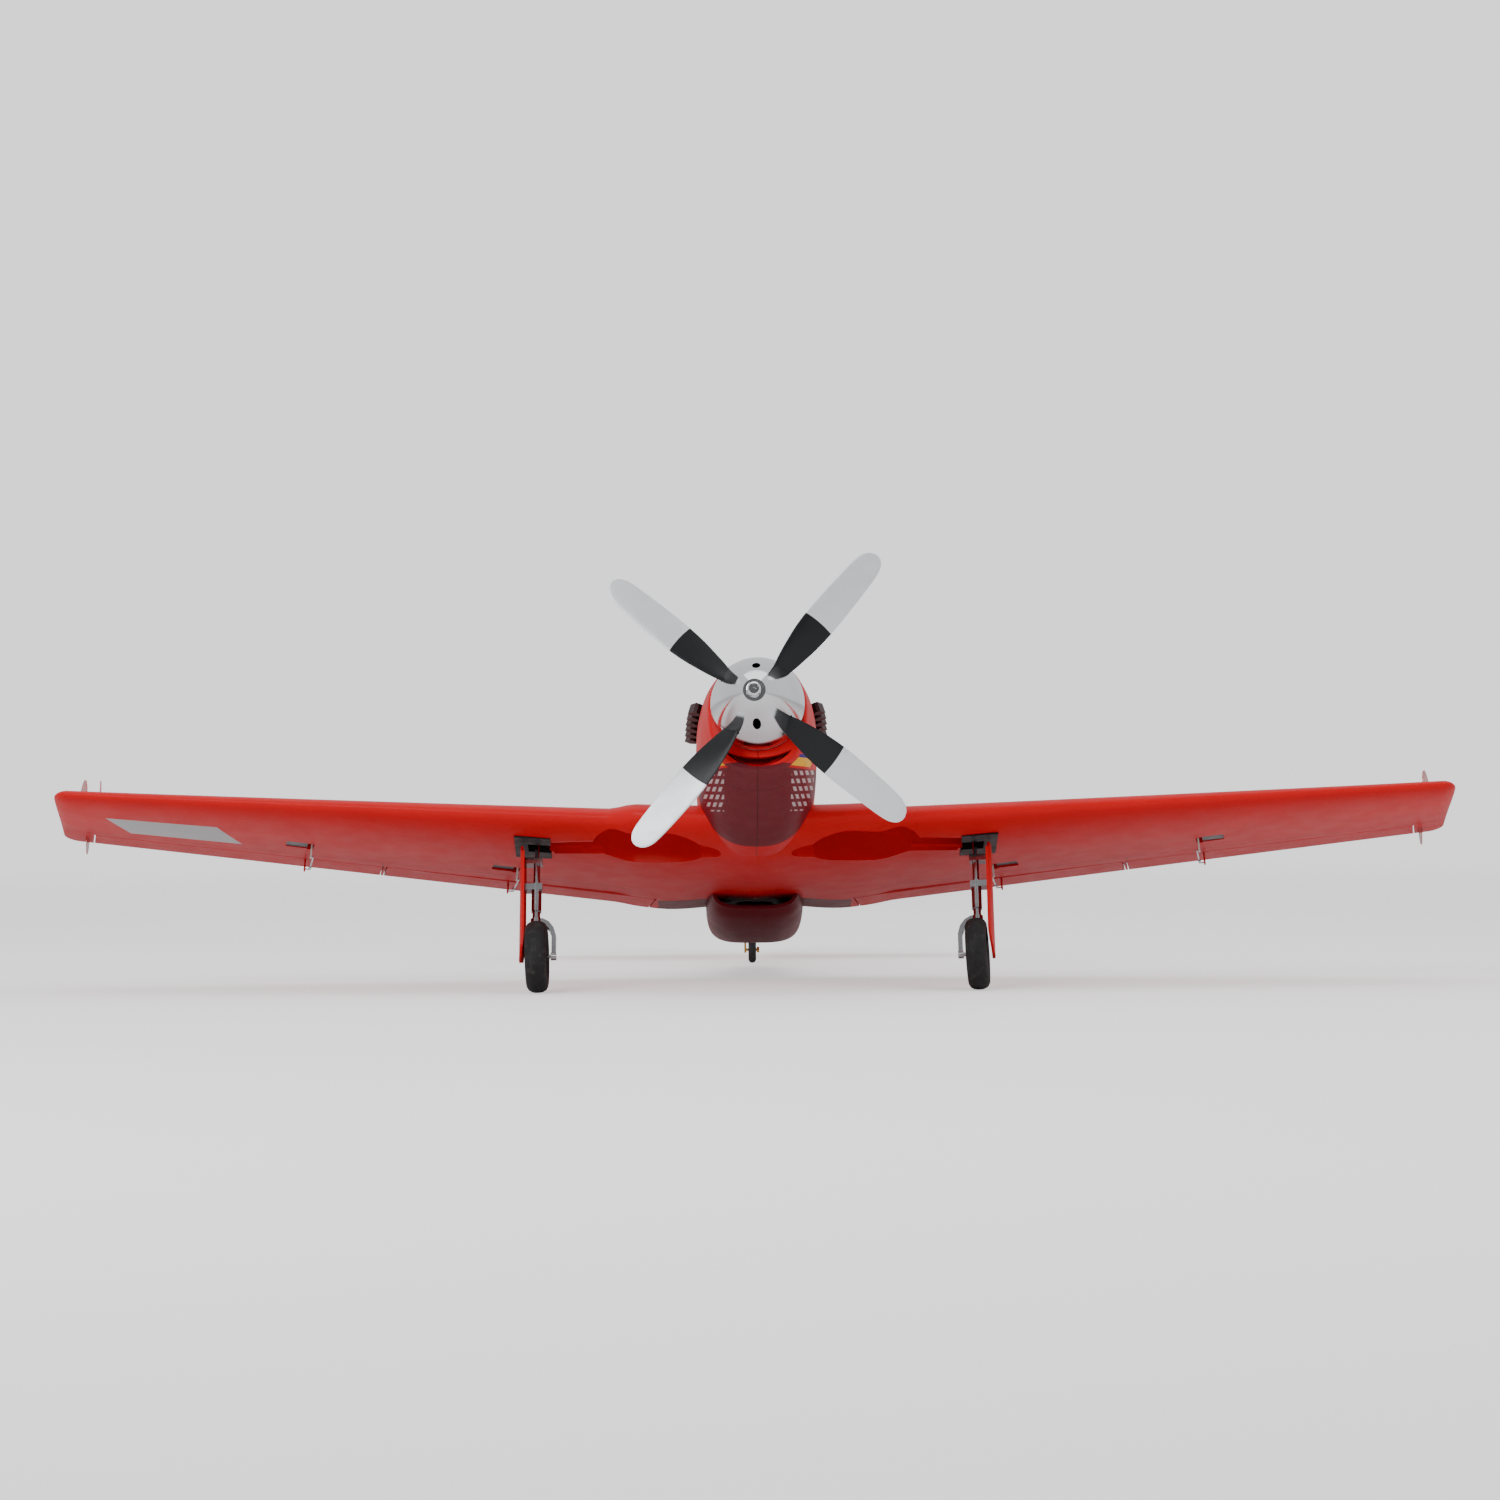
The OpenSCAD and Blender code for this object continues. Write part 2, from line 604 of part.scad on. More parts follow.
module wing_panel(toe) park() color([0.8, 0.1, 0.08]) moulded() difference() {
  keep_side(1) wing_form();
  gear_well(toe);
  hinge_block(flap_hinge, 1.2);
  hinge_roll(flap_hinge, cove_gap, 1.2);
  hinge_block(aileron_hinge, 1.2);
  hinge_roll(aileron_hinge, cove_gap, 1.2);
  wing_servo_rooms();
  // Bore of the spar tube and the holes of the wing bolts
  translate([-10, spar_s, spar_z]) turn_x()
    cylinder(h = spar_length / 2 + 10.5, r = spar_radius + 0.3, $fn = 24);
  translate([bolt_x, bolt_s, -160]) cylinder(h = 160, r = 2.8, $fn = 24);
  translate([bolt_x, bolt_s, -160]) cylinder(h = 160 + wing_under(bolt_x, bolt_s) + 4, r = 5.6, $fn = 24);
}
module wing_left() wing_panel(toe_left);
module wing_right() mirror([1, 0, 0]) wing_panel(toe_right);

spar_s = 366;
spar_z = -62;
spar_radius = 6;
spar_length = 560;
bolt_x = 30;
bolt_s = 520;
module wing_spar() park() color([0.1, 0.1, 0.11])
  translate([-spar_length / 2, spar_s, spar_z]) turn_x() difference() {
    cylinder(h = spar_length, r = spar_radius, $fn = 48);
    translate([0, 0, -1]) cylinder(h = spar_length + 2, r = spar_radius - 1.2, $fn = 48);
  }
module wing_bolts() park() color([0.15, 0.15, 0.16]) both_sides()
  translate([bolt_x, bolt_s, wing_under(bolt_x, bolt_s)]) {
    cylinder(h = 4, r = 5, $fn = 32);
    cylinder(h = 34, r = 2.5, $fn = 32);
  }

// Small translucent fences at the wing tips
module fence_leaf(tall, long) rotate([90, 0, 0]) linear_extrude(height = 1.2, center = true)
  scale([long, tall]) polygon([
    [0, 0], [1, 0], [0.86, 0.4], [0.55, 0.85], [0.34, 1], [0.16, 0.9], [0.02, 0.4]
  ]);
module fence_on_top(x, s, turn, tall, long)
  translate([x, s, wing_point(x, (s - lead(x)) / (trail(x) - lead(x)), 1, 0).z - 1])
    rotate([0, 0, turn]) fence_leaf(tall, long);
module wing_fences() park() color([0.8, 0.12, 0.12, 0.7]) moulded() difference() {
  union() {
    both_sides() {
      fence_on_top(688, 292, 62, 16, 20);
      translate([704, 413, wing_under(704, 413) + 1]) rotate([0, 0, 90]) mirror([0, 0, 1]) fence_leaf(18, 20);
    }
    mirror([1, 0, 0]) fence_on_top(675, 300, 80, 17, 18);
  }
  wing_form(0.1);
  mirror([1, 0, 0]) wing_form(0.1);
}

// ---------------------------------------------------------------- control surfaces of the wing
// Depth of the underside below the hinge line, at a point of the link frame
function wing_foot(h, along, aft) =
  let (u = hinge_axis(h), p = h[0] + u * along + unit3(cross([0, 0, 1], u)) * aft)
  p.z - wing_under(p.x, p.y) + skin_gap;
module wing_surface(h, along) park() color([0.8, 0.1, 0.08]) {
  moulded() union() {
    intersection() {
      wing_form();
      hinge_block(h);
    }
    hinge_roll(h);
  }
  at_hinge(h, along) horn(wing_foot(h, along, horn_front), wing_foot(h, along, horn_rear));
}
module aileron_left() wing_surface(aileron_hinge, aileron_link_x);
module aileron_right() mirror([1, 0, 0]) wing_surface(aileron_hinge, aileron_link_x);
module flap_left() wing_surface(flap_hinge, flap_link_x);
module flap_right() mirror([1, 0, 0]) wing_surface(flap_hinge, flap_link_x);

// ---------------------------------------------------------------- servos and linkages
servo_size = [22, 23, 12];
servo_ahead = 17;   // the case reaches this far ahead of its shaft
spline_radius = 1.5;
// Room for a servo's case and its arm's hub, with its origin at the output shaft
module servo_room() {
  translate([1.7, -servo_ahead - 0.3, -servo_size.z / 2 - 0.3])
    cube([servo_size.x + 0.6, servo_size.y + 0.6, servo_size.z + 0.6]);
  translate([-8, 0, 0]) turn_x() cylinder(h = 10, r = 4, $fn = 24);
}
module wing_servo_room() {
  translate([1.7, -servo_ahead - 0.3, -40]) cube([servo_size.x + 0.6, servo_size.y + 0.6, 46.3]);
  translate([-4.5, -16, -40]) cube([6.5, 26, 44]);
}
module servo() {
  color([0.12, 0.12, 0.13]) translate([2, -servo_ahead, -servo_size.z / 2]) cube(servo_size);
  color([0.8, 0.8, 0.78]) turn_x() {
    cylinder(h = 2, r = 2.2, $fn = 32);
    translate([0, 0, -3]) cylinder(h = 3, r = spline_radius, $fn = 32);
  }
}
// Servo arm: a hub on the splined shaft and a tapered arm down to the pushrod's hole
module servo_arm() color([0.85, 0.83, 0.8]) difference() {
  translate([arm_x, 0, 0]) turn_x() union() {
    cylinder(h = 3.3, r = 3.2, $fn = 32);
    linear_extrude(height = horn_thick) polygon([
      [0, -3], [0, 3], [horn_length, 2], [horn_length + 2, 1], [horn_length + 2, -1], [horn_length, -2]
    ]);
  }
  translate([arm_x - 1, 0, 0]) turn_x() cylinder(h = 5, r = spline_radius + 0.05, $fn = 32);
  translate([arm_x - 1, 0, -horn_length]) turn_x() cylinder(h = 4, r = link_hole, $fn = 24);
}
// Pushrod from the horn's hole forward to the servo arm's hole
module pushrod(link) {
  long = norm(link);
  color([0.72, 0.73, 0.74]) translate([wire_x, 0, -horn_length]) {
    rotate([atan2(link[1], link[0]), 0, 0]) translate([0, -long, 0]) turn_s() {
      cylinder(h = long, r = wire_radius, $fn = 24);
      translate([0, 0, long - 15]) cylinder(h = 12, r = 1.5, $fn = 24);
    }
    turn_x() cylinder(h = 1.2 - wire_x, r = pin_radius, $fn = 24);
    translate([0, -link[0], -link[1]]) turn_x() cylinder(h = -1.4 - wire_x, r = pin_radius, $fn = 24);
  }
}
module servos() park() {
  both_sides() {
    at_hinge(aileron_hinge, aileron_link_x) at_shaft(wing_link) servo();
    at_hinge(flap_hinge, flap_link_x) at_shaft(wing_link) servo();
  }
  at_elevator_link() at_shaft(elevator_link) servo();
  at_rudder_link() at_shaft(rudder_link) servo();
}
module arm_aileron_left() park() at_hinge(aileron_hinge, aileron_link_x) at_shaft(wing_link) servo_arm();
module arm_aileron_right() park() mirror([1, 0, 0])
  at_hinge(aileron_hinge, aileron_link_x) at_shaft(wing_link) servo_arm();
module arm_flap_left() park() at_hinge(flap_hinge, flap_link_x) at_shaft(wing_link) servo_arm();
module arm_flap_right() park() mirror([1, 0, 0])
  at_hinge(flap_hinge, flap_link_x) at_shaft(wing_link) servo_arm();
module arm_elevator() park() at_elevator_link() at_shaft(elevator_link) servo_arm();
module arm_rudder() park() at_rudder_link() at_shaft(rudder_link) servo_arm();
module pushrod_aileron_left() park() at_hinge(aileron_hinge, aileron_link_x) pushrod(wing_link);
module pushrod_aileron_right() park() mirror([1, 0, 0])
  at_hinge(aileron_hinge, aileron_link_x) pushrod(wing_link);
module pushrod_flap_left() park() at_hinge(flap_hinge, flap_link_x) pushrod(wing_link);
module pushrod_flap_right() park() mirror([1, 0, 0]) at_hinge(flap_hinge, flap_link_x) pushrod(wing_link);
module pushrod_elevator() park() at_elevator_link() pushrod(elevator_link);
module pushrod_rudder() park() at_rudder_link() pushrod(rudder_link);

// ---------------------------------------------------------------- tail surfaces
module stabilizer() park() color([0.86, 0.1, 0.08]) moulded() difference() {
  tail_form();
  intersection() {
    elevator_zone(cove_gap);
    elevator_span(cove_gap);
  }
  translate([-14, tail_hinge_s - 6, tail_height - 30]) cube([28, 120, 60]);
}
function tail_foot(aft) =
  let (a = tail_lead(elevator_link_x), c = tail_trail(elevator_link_x) - a)
  0.1 * c * half_thick((tail_hinge_s + aft - a) / c) + skin_gap;
module elevator() park() color([0.86, 0.1, 0.08]) {
  moulded() intersection() {
    union() {
      intersection() {
        tail_form();
        translate([-cut, tail_hinge_s, 0]) cube([2 * cut, 120, 80]);
      }
      both_sides() translate([elevator_inner, tail_hinge_s, tail_height]) turn_x()
        cylinder(h = elevator_outer - elevator_inner, r1 = 5.2, r2 = 3.6, $fn = 28);
    }
    elevator_span(0);
  }
  at_elevator_link() horn(tail_foot(horn_front), tail_foot(horn_rear));
}
function rudder_foot(aft) = fin_half(rudder_link_z, rudder_hinge_s + aft) + skin_gap;
module rudder() park() color([0.86, 0.1, 0.08]) {
  moulded() intersection() {
    fin_form();
    rudder_zone(0);
  }
  at_rudder_link() horn(rudder_foot(horn_front), rudder_foot(horn_rear));
}

// ---------------------------------------------------------------- propeller and motor
function spinner_r(z, thick) =
  (spinner_radius - thick) * (1 - (clamp01(z / (spinner_length - thick))) ^ 1.15) ^ 0.55;
blade_count = 4;
blade_plane = 20;
hub_radius = 20;
nut_base = 72;
spinner_wall = 1.8;
module each_blade() for (k = [0:blade_count - 1]) rotate([0, 0, prop_rest + 90 * k]) children();
module spinner() thrust() color([0.9, 0.9, 0.92]) difference() {
  rotate_extrude($fn = 96) polygon(concat(
    [[spinner_radius, 0.2]],
    [for (i = [1:14]) let (z = nut_base * i / 14) [spinner_r(z, 0), z]],
    [[3.2, nut_base], [3.2, nut_base - 4]],
    [for (i = [13:-1:0]) let (z = (nut_base - 4) * i / 14) [spinner_r(z, spinner_wall), max(z, 0.2)]]
  ));
  // Blade slots, straight along the shaft
  each_blade() translate([0, 0, 6]) linear_extrude(height = 80)
    polygon([[21, -3.5], [21, 3.5], [34, 8.6], [48, 10.8], [60, 10.8], [60, -11.2], [48, -11.2], [34, -8.8]]);
  // Two holes for the screwdriver, above and below the nut
  for (side = [-1, 1]) translate([1, side * 28.5, 20]) cylinder(h = 60, r = 4, $fn = 32);
}
module spinner_backplate() thrust() color([0.13, 0.13, 0.14]) difference() {
  union() {
    translate([0, 0, -2.8]) cylinder(h = 2.8, r = spinner_radius, $fn = 96);
    cylinder(h = 27, r = hub_radius, $fn = 72);
    translate([0, 0, 27]) cylinder(h = 6, r = 9, $fn = 48);
  }
  translate([0, 0, -5]) cylinder(h = 80, r = 3.02, $fn = 32);
  // Pockets for the blade roots
  each_blade() translate([9, -6.05, blade_plane - 6.05]) cube([20, 12.1, 20]);
}
module prop_nut() thrust() color([0.88, 0.88, 0.9]) difference() {
  rotate_extrude($fn = 64) polygon([
    [0, 33.2], [8, 33.2], [8, 39], [3, 39], [3, nut_base + 0.2],
    [7.6, nut_base + 0.2], [7.4, 76], [6.6, 79.2], [5, 80.6], [0, 80.6]
  ]);
  translate([0, 0, 78.6]) cylinder(h = 4, r = 4.4, $fn = 32);
  translate([0, 0, 75]) cylinder(h = 6, r = 2, $fn = 6);
}

// [radius, chord, thickness ratio]
blade_rows = [
  [22.5, 9, 0.95], [27, 10.5, 0.7], [35, 17.5, 0.34], [45, 22.5, 0.2], [60, 27, 0.15], [80, 31.5, 0.11],
  [105, 33, 0.09], [130, 31.5, 0.08], [150, 29.5, 0.075], [165, 27.2, 0.07], [173, 24.2, 0.07],
  [178.5, 18.6, 0.08], [181.8, 12, 0.1], [183.5, 4, 0.2]
];
blade_stations = [22.5, 25, 28, 32, 38, 45, 55, 68, 85, 105, 125, 145, 160, 168, 174, 178.5, 181.8, 183.5];
blade_tip = 183.5;
function blade_ring(r) =
  let (
    chord = curve(blade_rows, r, 1),
    thick = chord * curve(blade_rows, r, 2),
    pitch = atan(prop_pitch / (2 * 3.14159 * max(r, 30))),
    sweep = 0.06 * chord
  )
  [for (i = [0:15])
    let (
      a = -360 * i / 16,
      along = chord * cos(a) / 2 + sweep,
      across = thick * sin(a) * (0.62 + 0.38 * cos(a)) / 2
    )
    [
      r * prop_radius / blade_tip,
      along * cos(pitch) - across * sin(pitch),
      blade_plane + along * sin(pitch) + across * cos(pitch)
    ]
  ];
module prop_blades() thrust() color([0.12, 0.12, 0.13]) each_blade() {
  moulded() loft([for (r = blade_stations) blade_ring(r)]);
  translate([9.1, -6, blade_plane - 6]) cube([10.8, 12, 12]);
  translate([19, 0, blade_plane]) turn_x() cylinder(h = 4.5, r = 4.2, $fn = 32);
}

bell_radius = 25;
bell_rear = -44;
module motor_bell() thrust() {
  color([0.15, 0.15, 0.17]) difference() {
    translate([0, 0, bell_rear + 4]) cylinder(h = 32, r = bell_radius, $fn = 72);
    translate([0, 0, bell_rear]) cylinder(h = 33, r = bell_radius - 2.5, $fn = 72);
    for (k = [0:5]) rotate([0, 0, 60 * k]) translate([14, 0, -20]) cylinder(h = 20, r = 4.2, $fn = 24);
  }
  color([0.75, 0.76, 0.78]) {
    translate([0, 0, bell_rear - 6]) cylinder(h = 33 - bell_rear + 6, r = 3, $fn = 32);
    translate([0, 0, -8]) cylinder(h = 5, r = 8, $fn = 32);
  }
}
module motor_stator() thrust() color([0.62, 0.34, 0.16]) difference() {
  union() {
    translate([0, 0, bell_rear + 3]) cylinder(h = 22, r = bell_radius - 3.2, $fn = 72);
    translate([0, 0, bell_rear - 4]) cylinder(h = 7, r = 15, $fn = 48);
  }
  translate([0, 0, bell_rear - 10]) cylinder(h = 60, r = 6.5, $fn = 32);
}
module motor_bearings() thrust() color([0.8, 0.8, 0.82])
  for (z = [bell_rear - 3, bell_rear + 18]) translate([0, 0, z]) difference() {
    cylinder(h = 5, r = 6.5, $fn = 32);
    translate([0, 0, -1]) cylinder(h = 7, r = 3.03, $fn = 32);
  }
firewall_s = 68;
module motor_mount() color([0.7, 0.7, 0.72]) difference() {
  thrust() difference() {
    union() {
      translate([0, 0, bell_rear - 8]) cylinder(h = 4, r = 17, $fn = 48);
      for (k = [0:3]) rotate([0, 0, 45 + 90 * k]) {
        translate([12, -5, bell_rear - 8]) cube([18, 10, 4]);
        translate([26, 0, -75]) cylinder(h = 75 + bell_rear - 8, r = 4, $fn = 24);
      }
    }
    translate([0, 0, bell_rear - 12]) cylinder(h = 20, r = 4, $fn = 32);
  }
  park() translate([-60, firewall_s - 0.05, -120]) cube([120, 40, 240]);
}
// Firewall, the tray behind it and the former at the tray's rear end
tray_end = 350;
module plywood_frame() park() color([0.75, 0.6, 0.4]) {
  moulded() difference() {
    intersection() {
      translate([-70, firewall_s, -90]) cube([140, 4, 115]);
      body_form(40, 100, 15, shell + 1);
    }
    translate([0, 60, -42]) turn_s() cylinder(h = 20, r = 12, $fn = 32);
  }
  translate([-24, firewall_s + 4.05, -36]) cube([48, tray_end - firewall_s - 4.1, 3]);
  moulded() intersection() {
    translate([-70, tray_end, -38]) cube([140, 3, 56]);
    body_form(330, 370, 20, shell + 1);
  }
}

// ---------------------------------------------------------------- electronics
module rounded_box(size, r) translate([r, r, 0]) linear_extrude(height = size.z) offset(r = r, $fn = 24)
  square([size.x - 2 * r, size.y - 2 * r]);
module battery() park() color([0.1, 0.2, 0.45]) translate([-22, 106, -32.9]) rounded_box([44, 138, 40], 4);
module speed_controller() park() color([0.15, 0.15, 0.16])
  translate([-17, 90, -52.1]) rounded_box([34, 66, 16], 2);
module receiver() park() color([0.2, 0.2, 0.22]) translate([-14, 290, -32.9]) rounded_box([28, 46, 15], 2);

// ---------------------------------------------------------------- main gear
housing_tall = 23;
// The retract's outline in its plate frame, grown all round and reaching down by `below`
module retract_form(grow, below) {
  translate([-plate_width / 2 - grow, (plate_front - plate_rear) / 2 - grow, -0.6 - below])
    cube([plate_width + 2 * grow, plate_rear - plate_front + 2 * grow, 2 + below + grow]);
  translate([-16.5 - grow, -25 - grow, -0.6 - below])
    cube([33 + 2 * grow, 50 + 2 * grow, housing_tall + 2 + below + grow]);
}
pin_long = 34;
module retract_unit() difference() {
  at_plate() retract_form(0, 0);
  // Opening that the leg swings through
  translate([190, pivot.y - 12, -100]) cube([44.5, 24, 43.5]);
  // Bore of the leg's pin
  translate([pivot.x, pivot.y - 18, pivot.z]) turn_s() cylinder(h = 36, r = 2.06, $fn = 32);
}
module retract_units() park() color([0.08, 0.08, 0.09]) both_sides() retract_unit();

sleeve_end = -88;
sleeve_start = -56;
rod_radius = 2.3;
tube_radius = 3.4;
sleeve_radius = 5.2;
module strut(toe) park() color([0.85, 0.86, 0.88]) {
  difference() {
    union() {
      translate([pivot.x, pivot.y - pin_long / 2, pivot.z]) turn_s() cylinder(h = pin_long, r = 2, $fn = 32);
      at_leg(0) translate([-5, -7, -5]) cube([10, 14, 10]);
      at_leg(toe) {
        translate([0, 0, -34]) cylinder(h = 32, r = rod_radius, $fn = 48);
        translate([0, 0, sleeve_start - 4]) cylinder(h = -sleeve_start - 23, r = tube_radius, $fn = 48);
        translate([0, 0, sleeve_end]) cylinder(h = sleeve_start - sleeve_end, r = sleeve_radius, $fn = 48);
        // Two clamps that carry the door
        for (low = [-34, -64]) translate([-6, -5, low]) cube([20.4, 10, 7]);
      }
    }
    at_leg(toe) translate([0, 0, sleeve_end - 1]) cylinder(h = 26, r = 4.05, $fn = 48);
  }
}
module strut_left() strut(toe_left);
module strut_right() mirror([1, 0, 0]) strut(toe_right);

axle_radius = 2;
// The fork's arm passes the inboard side of the wheel
module oleo_fork(toe) park() at_leg(toe) color([0.85, 0.86, 0.88]) {
  translate([0, 0, -100]) cylinder(h = 28, r = 4, $fn = 48);
  translate([0, 0, -101]) cylinder(h = 4.6, r = 5.8, $fn = 48);
  // Curved arm
  rotate([90, 0, 0]) translate([0, 0, -3.5]) linear_extrude(height = 7) polygon([
    [4, -97.2], [-6.5, -96.4], [-13, -100], [-18, -107], [-20.5, -116],
    [-20.5, -leg_length], [-16, -leg_length],
    [-16, -116], [-13.6, -109], [-9.6, -103.6], [-4, -101.6], [4, -101.6]
  ]);
  translate([-20.9, 0, -leg_length]) turn_x() cylinder(h = 5.6, r = 4, $fn = 48);
  translate([-16, 0, -leg_length]) turn_x() cylinder(h = 16 + wheel_x + 9, r = axle_radius, $fn = 32);
}
module oleo_fork_left() oleo_fork(toe_left);
module oleo_fork_right() mirror([1, 0, 0]) oleo_fork(toe_right);

rim_radius = 20;
module at_wheel(toe) park() at_leg(toe) translate([wheel_x, 0, -leg_length]) turn_x() children();
module wheel_hub(toe) at_wheel(toe) color([0.8, 0.81, 0.83]) difference() {
  rotate_extrude($fn = 72) polygon([
    [axle_radius + 0.03, -6], [5, -6], [5.6, -3], [15.5, -4.5], [17.2, -7.4], [rim_radius, -7.4],
    [rim_radius, 7.4], [17.2, 7.4], [15.5, 4.5], [5.6, 3], [5, 6], [axle_radius + 0.03, 6]
  ]);
  for (k = [0:4]) rotate([0, 0, 72 * k]) translate([10.6, 0, -10]) cylinder(h = 20, r = 2.6, $fn = 24);
}
// Right half of the tyre's profile: [radius, half width as a share of the tyre's]
tyre_rows = [
  [rim_radius, 0.66], [23, 0.84], [27, 0.98], [31, 0.96],
  [34, 0.8], [35.8, 0.52], [wheel_radius, 0.2]
];
module tyre(toe) at_wheel(toe) color([0.09, 0.09, 0.09]) rotate_extrude($fn = 96) polygon(concat(
  [for (p = tyre_rows) [p[0], -p[1] * tyre_width / 2]],
  [for (i = [len(tyre_rows) - 1:-1:0]) [tyre_rows[i][0], tyre_rows[i][1] * tyre_width / 2]]
));
module wheel_hub_left() wheel_hub(toe_left);
module wheel_hub_right() mirror([1, 0, 0]) wheel_hub(toe_right);
module tyre_left() tyre(toe_left);
module tyre_right() mirror([1, 0, 0]) tyre(toe_right);

// Door: a curved plate on the outboard side of the leg
door_crown = 17;
door_curve = 42;
module gear_door(toe) park() at_leg(toe) color([0.8, 0.1, 0.08]) intersection() {
  turn_x() linear_extrude(height = 40) polygon([
    [16.5, -10], [16.5, 10], [20.5, 11], [24, 15], [leg_length - 20, 16.5], [leg_length + 1, 11],
    [leg_length + 5, 3], [leg_length + 4, -6], [leg_length - 8, -14],
    [leg_length - 20, -16.5], [24, -15], [20.5, -11]
  ]);
  translate([door_crown - door_curve, 0, -leg_length - 10]) difference() {
    cylinder(h = leg_length, r = door_curve, $fn = 96);
    translate([0, 0, -1]) cylinder(h = leg_length + 2, r = door_curve - 2.2, $fn = 96);
  }
}
module gear_door_left() gear_door(toe_left);
module gear_door_right() mirror([1, 0, 0]) gear_door(toe_right);

// ---------------------------------------------------------------- tail gear
module tail_gear_bracket() park() color([0.1, 0.1, 0.1]) difference() {
  translate([-7, 866, -54]) cube([14, 24, 12]);
  translate([0, tail_post_s, -60]) cylinder(h = 30, r = 2.03, $fn = 32);
}
tail_axle_radius = 1.5;
// Steering post, the arm on the wheel's right side, the axle and its collar
module tail_gear_fork() park() {
  color([0.72, 0.58, 0.3]) {
    translate([0, tail_post_s, -62]) cylinder(h = 21, r = 2, $fn = 32);
    translate([0, tail_post_s, -57]) cylinder(h = 2.6, r = 3.4, $fn = 32);
    translate([-9.2, tail_post_s - 2.5, -64]) cube([11.7, 5, 3]);
    translate([-9.2, 0, 0]) turn_x() linear_extrude(height = 2.4) polygon([
      [61, 873.5], [61, 878.5], [75, 891], [79.5, 890.5], [80, 885], [66, 873.5]
    ]);
    translate([-9.2, tail_wheel_s, tail_wheel_z]) turn_x() cylinder(h = 2.4, r = 3.6, $fn = 32);
    translate([-9.2, tail_wheel_s, tail_wheel_z]) turn_x() cylinder(h = 17, r = tail_axle_radius, $fn = 32);
  }
  color([0.1, 0.1, 0.1]) translate([5.2, tail_wheel_s, tail_wheel_z]) turn_x() difference() {
    cylinder(h = 3, r = 3.2, $fn = 32);
    translate([0, 0, -1]) cylinder(h = 5, r = tail_axle_radius + 0.01, $fn = 32);
  }
}
tail_rim_radius = 7;
module tail_wheel() park() translate([0, tail_wheel_s, tail_wheel_z]) turn_x() {
  color([0.7, 0.7, 0.72]) rotate_extrude($fn = 48) polygon([
    [tail_axle_radius + 0.03, -4.4], [tail_rim_radius, -3],
    [tail_rim_radius, 3], [tail_axle_radius + 0.03, 4.4]
  ]);
  color([0.09, 0.09, 0.09]) rotate_extrude($fn = 64) polygon([
    [tail_rim_radius, -3], [9, -4.4], [12, -4.4], [14.2, -3], [tail_wheel_radius, -1], [tail_wheel_radius, 1],
    [14.2, 3], [12, 4.4], [9, 4.4], [tail_rim_radius, 3]
  ]);
}

fuselage_left();
fuselage_right();
nose_ring();
hatch_deck();
canopy_glass();
canopy_frame();
cockpit_tub();
belly_scoop();
exhaust_stacks();
wing_left();
wing_right();
wing_spar();
wing_bolts();
wing_fences();
aileron_left();
aileron_right();
flap_left();
flap_right();
stabilizer();
elevator();
rudder();
spinner();
spinner_backplate();
prop_nut();
prop_blades();
motor_bell();
motor_stator();
motor_bearings();
motor_mount();
plywood_frame();
battery();
speed_controller();
receiver();
retract_units();
strut_left();
strut_right();
oleo_fork_left();
oleo_fork_right();
wheel_hub_left();
wheel_hub_right();
tyre_left();
tyre_right();
gear_door_left();
gear_door_right();
tail_gear_bracket();
tail_gear_fork();
tail_wheel();
servos();
arm_aileron_left();
arm_aileron_right();
arm_flap_left();
arm_flap_right();
arm_elevator();
arm_rudder();
pushrod_aileron_left();
pushrod_aileron_right();
pushrod_flap_left();
pushrod_flap_right();
pushrod_elevator();
pushrod_rudder();
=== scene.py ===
"""Looks of the four-blade foam racing airplane, standing on its wheels.

Body coordinates are (x, s, z) in millimetres: s runs aft from the spinner's base along the
fuselage line, and z is measured from that line. PARK turns them into the row frame in metres.
"""

from math import atan, ceil, cos, degrees, pi, radians, sin, sqrt, tan

import bmesh
import bpy
from mathutils import Matrix, Vector


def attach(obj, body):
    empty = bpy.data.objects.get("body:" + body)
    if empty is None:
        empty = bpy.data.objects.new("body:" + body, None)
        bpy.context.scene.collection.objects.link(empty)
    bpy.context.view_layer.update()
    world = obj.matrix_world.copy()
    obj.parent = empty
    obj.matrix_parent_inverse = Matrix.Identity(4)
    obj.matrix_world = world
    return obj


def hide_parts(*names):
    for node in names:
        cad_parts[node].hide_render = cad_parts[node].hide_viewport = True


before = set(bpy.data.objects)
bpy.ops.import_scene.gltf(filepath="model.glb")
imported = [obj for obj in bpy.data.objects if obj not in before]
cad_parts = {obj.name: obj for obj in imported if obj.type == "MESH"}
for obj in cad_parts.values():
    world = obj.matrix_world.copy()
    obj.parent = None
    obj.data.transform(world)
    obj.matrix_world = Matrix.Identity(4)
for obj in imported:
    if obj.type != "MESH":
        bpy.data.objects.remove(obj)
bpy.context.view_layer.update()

# -------- sizes shared with the CAD part
PARK_ANGLE = 13
NOSE_HEIGHT = 290
NOSE_REACH = 533.8
THRUST_TILT = 3
HALF_SPAN = 729
DIHEDRAL = 3.7
WING_DROP = -71.3
WING_FRONT = 223
WING_REAR = 562
TIP_REAR = 433
CENTRE_INCIDENCE = 2.6
INCIDENCE = 5.1
PANEL_START = 106
TIP_ROUND = 16
ROOT_EXTENSION = 22
PROP_PITCH = 203
PROP_REST = 49.5
BLADE_COUNT = 4
BLADE_HEIGHT = 20
SPINNER_RADIUS = 45.8
SPINNER_LENGTH = 77
SPINNER_WALL = 1.8
WHEEL_RADIUS = 36.5
TYRE_WIDTH = 22
HALF_TRACK = 223.8
TOE = {"left": 7, "right": -2}
HORN_LENGTH = 17
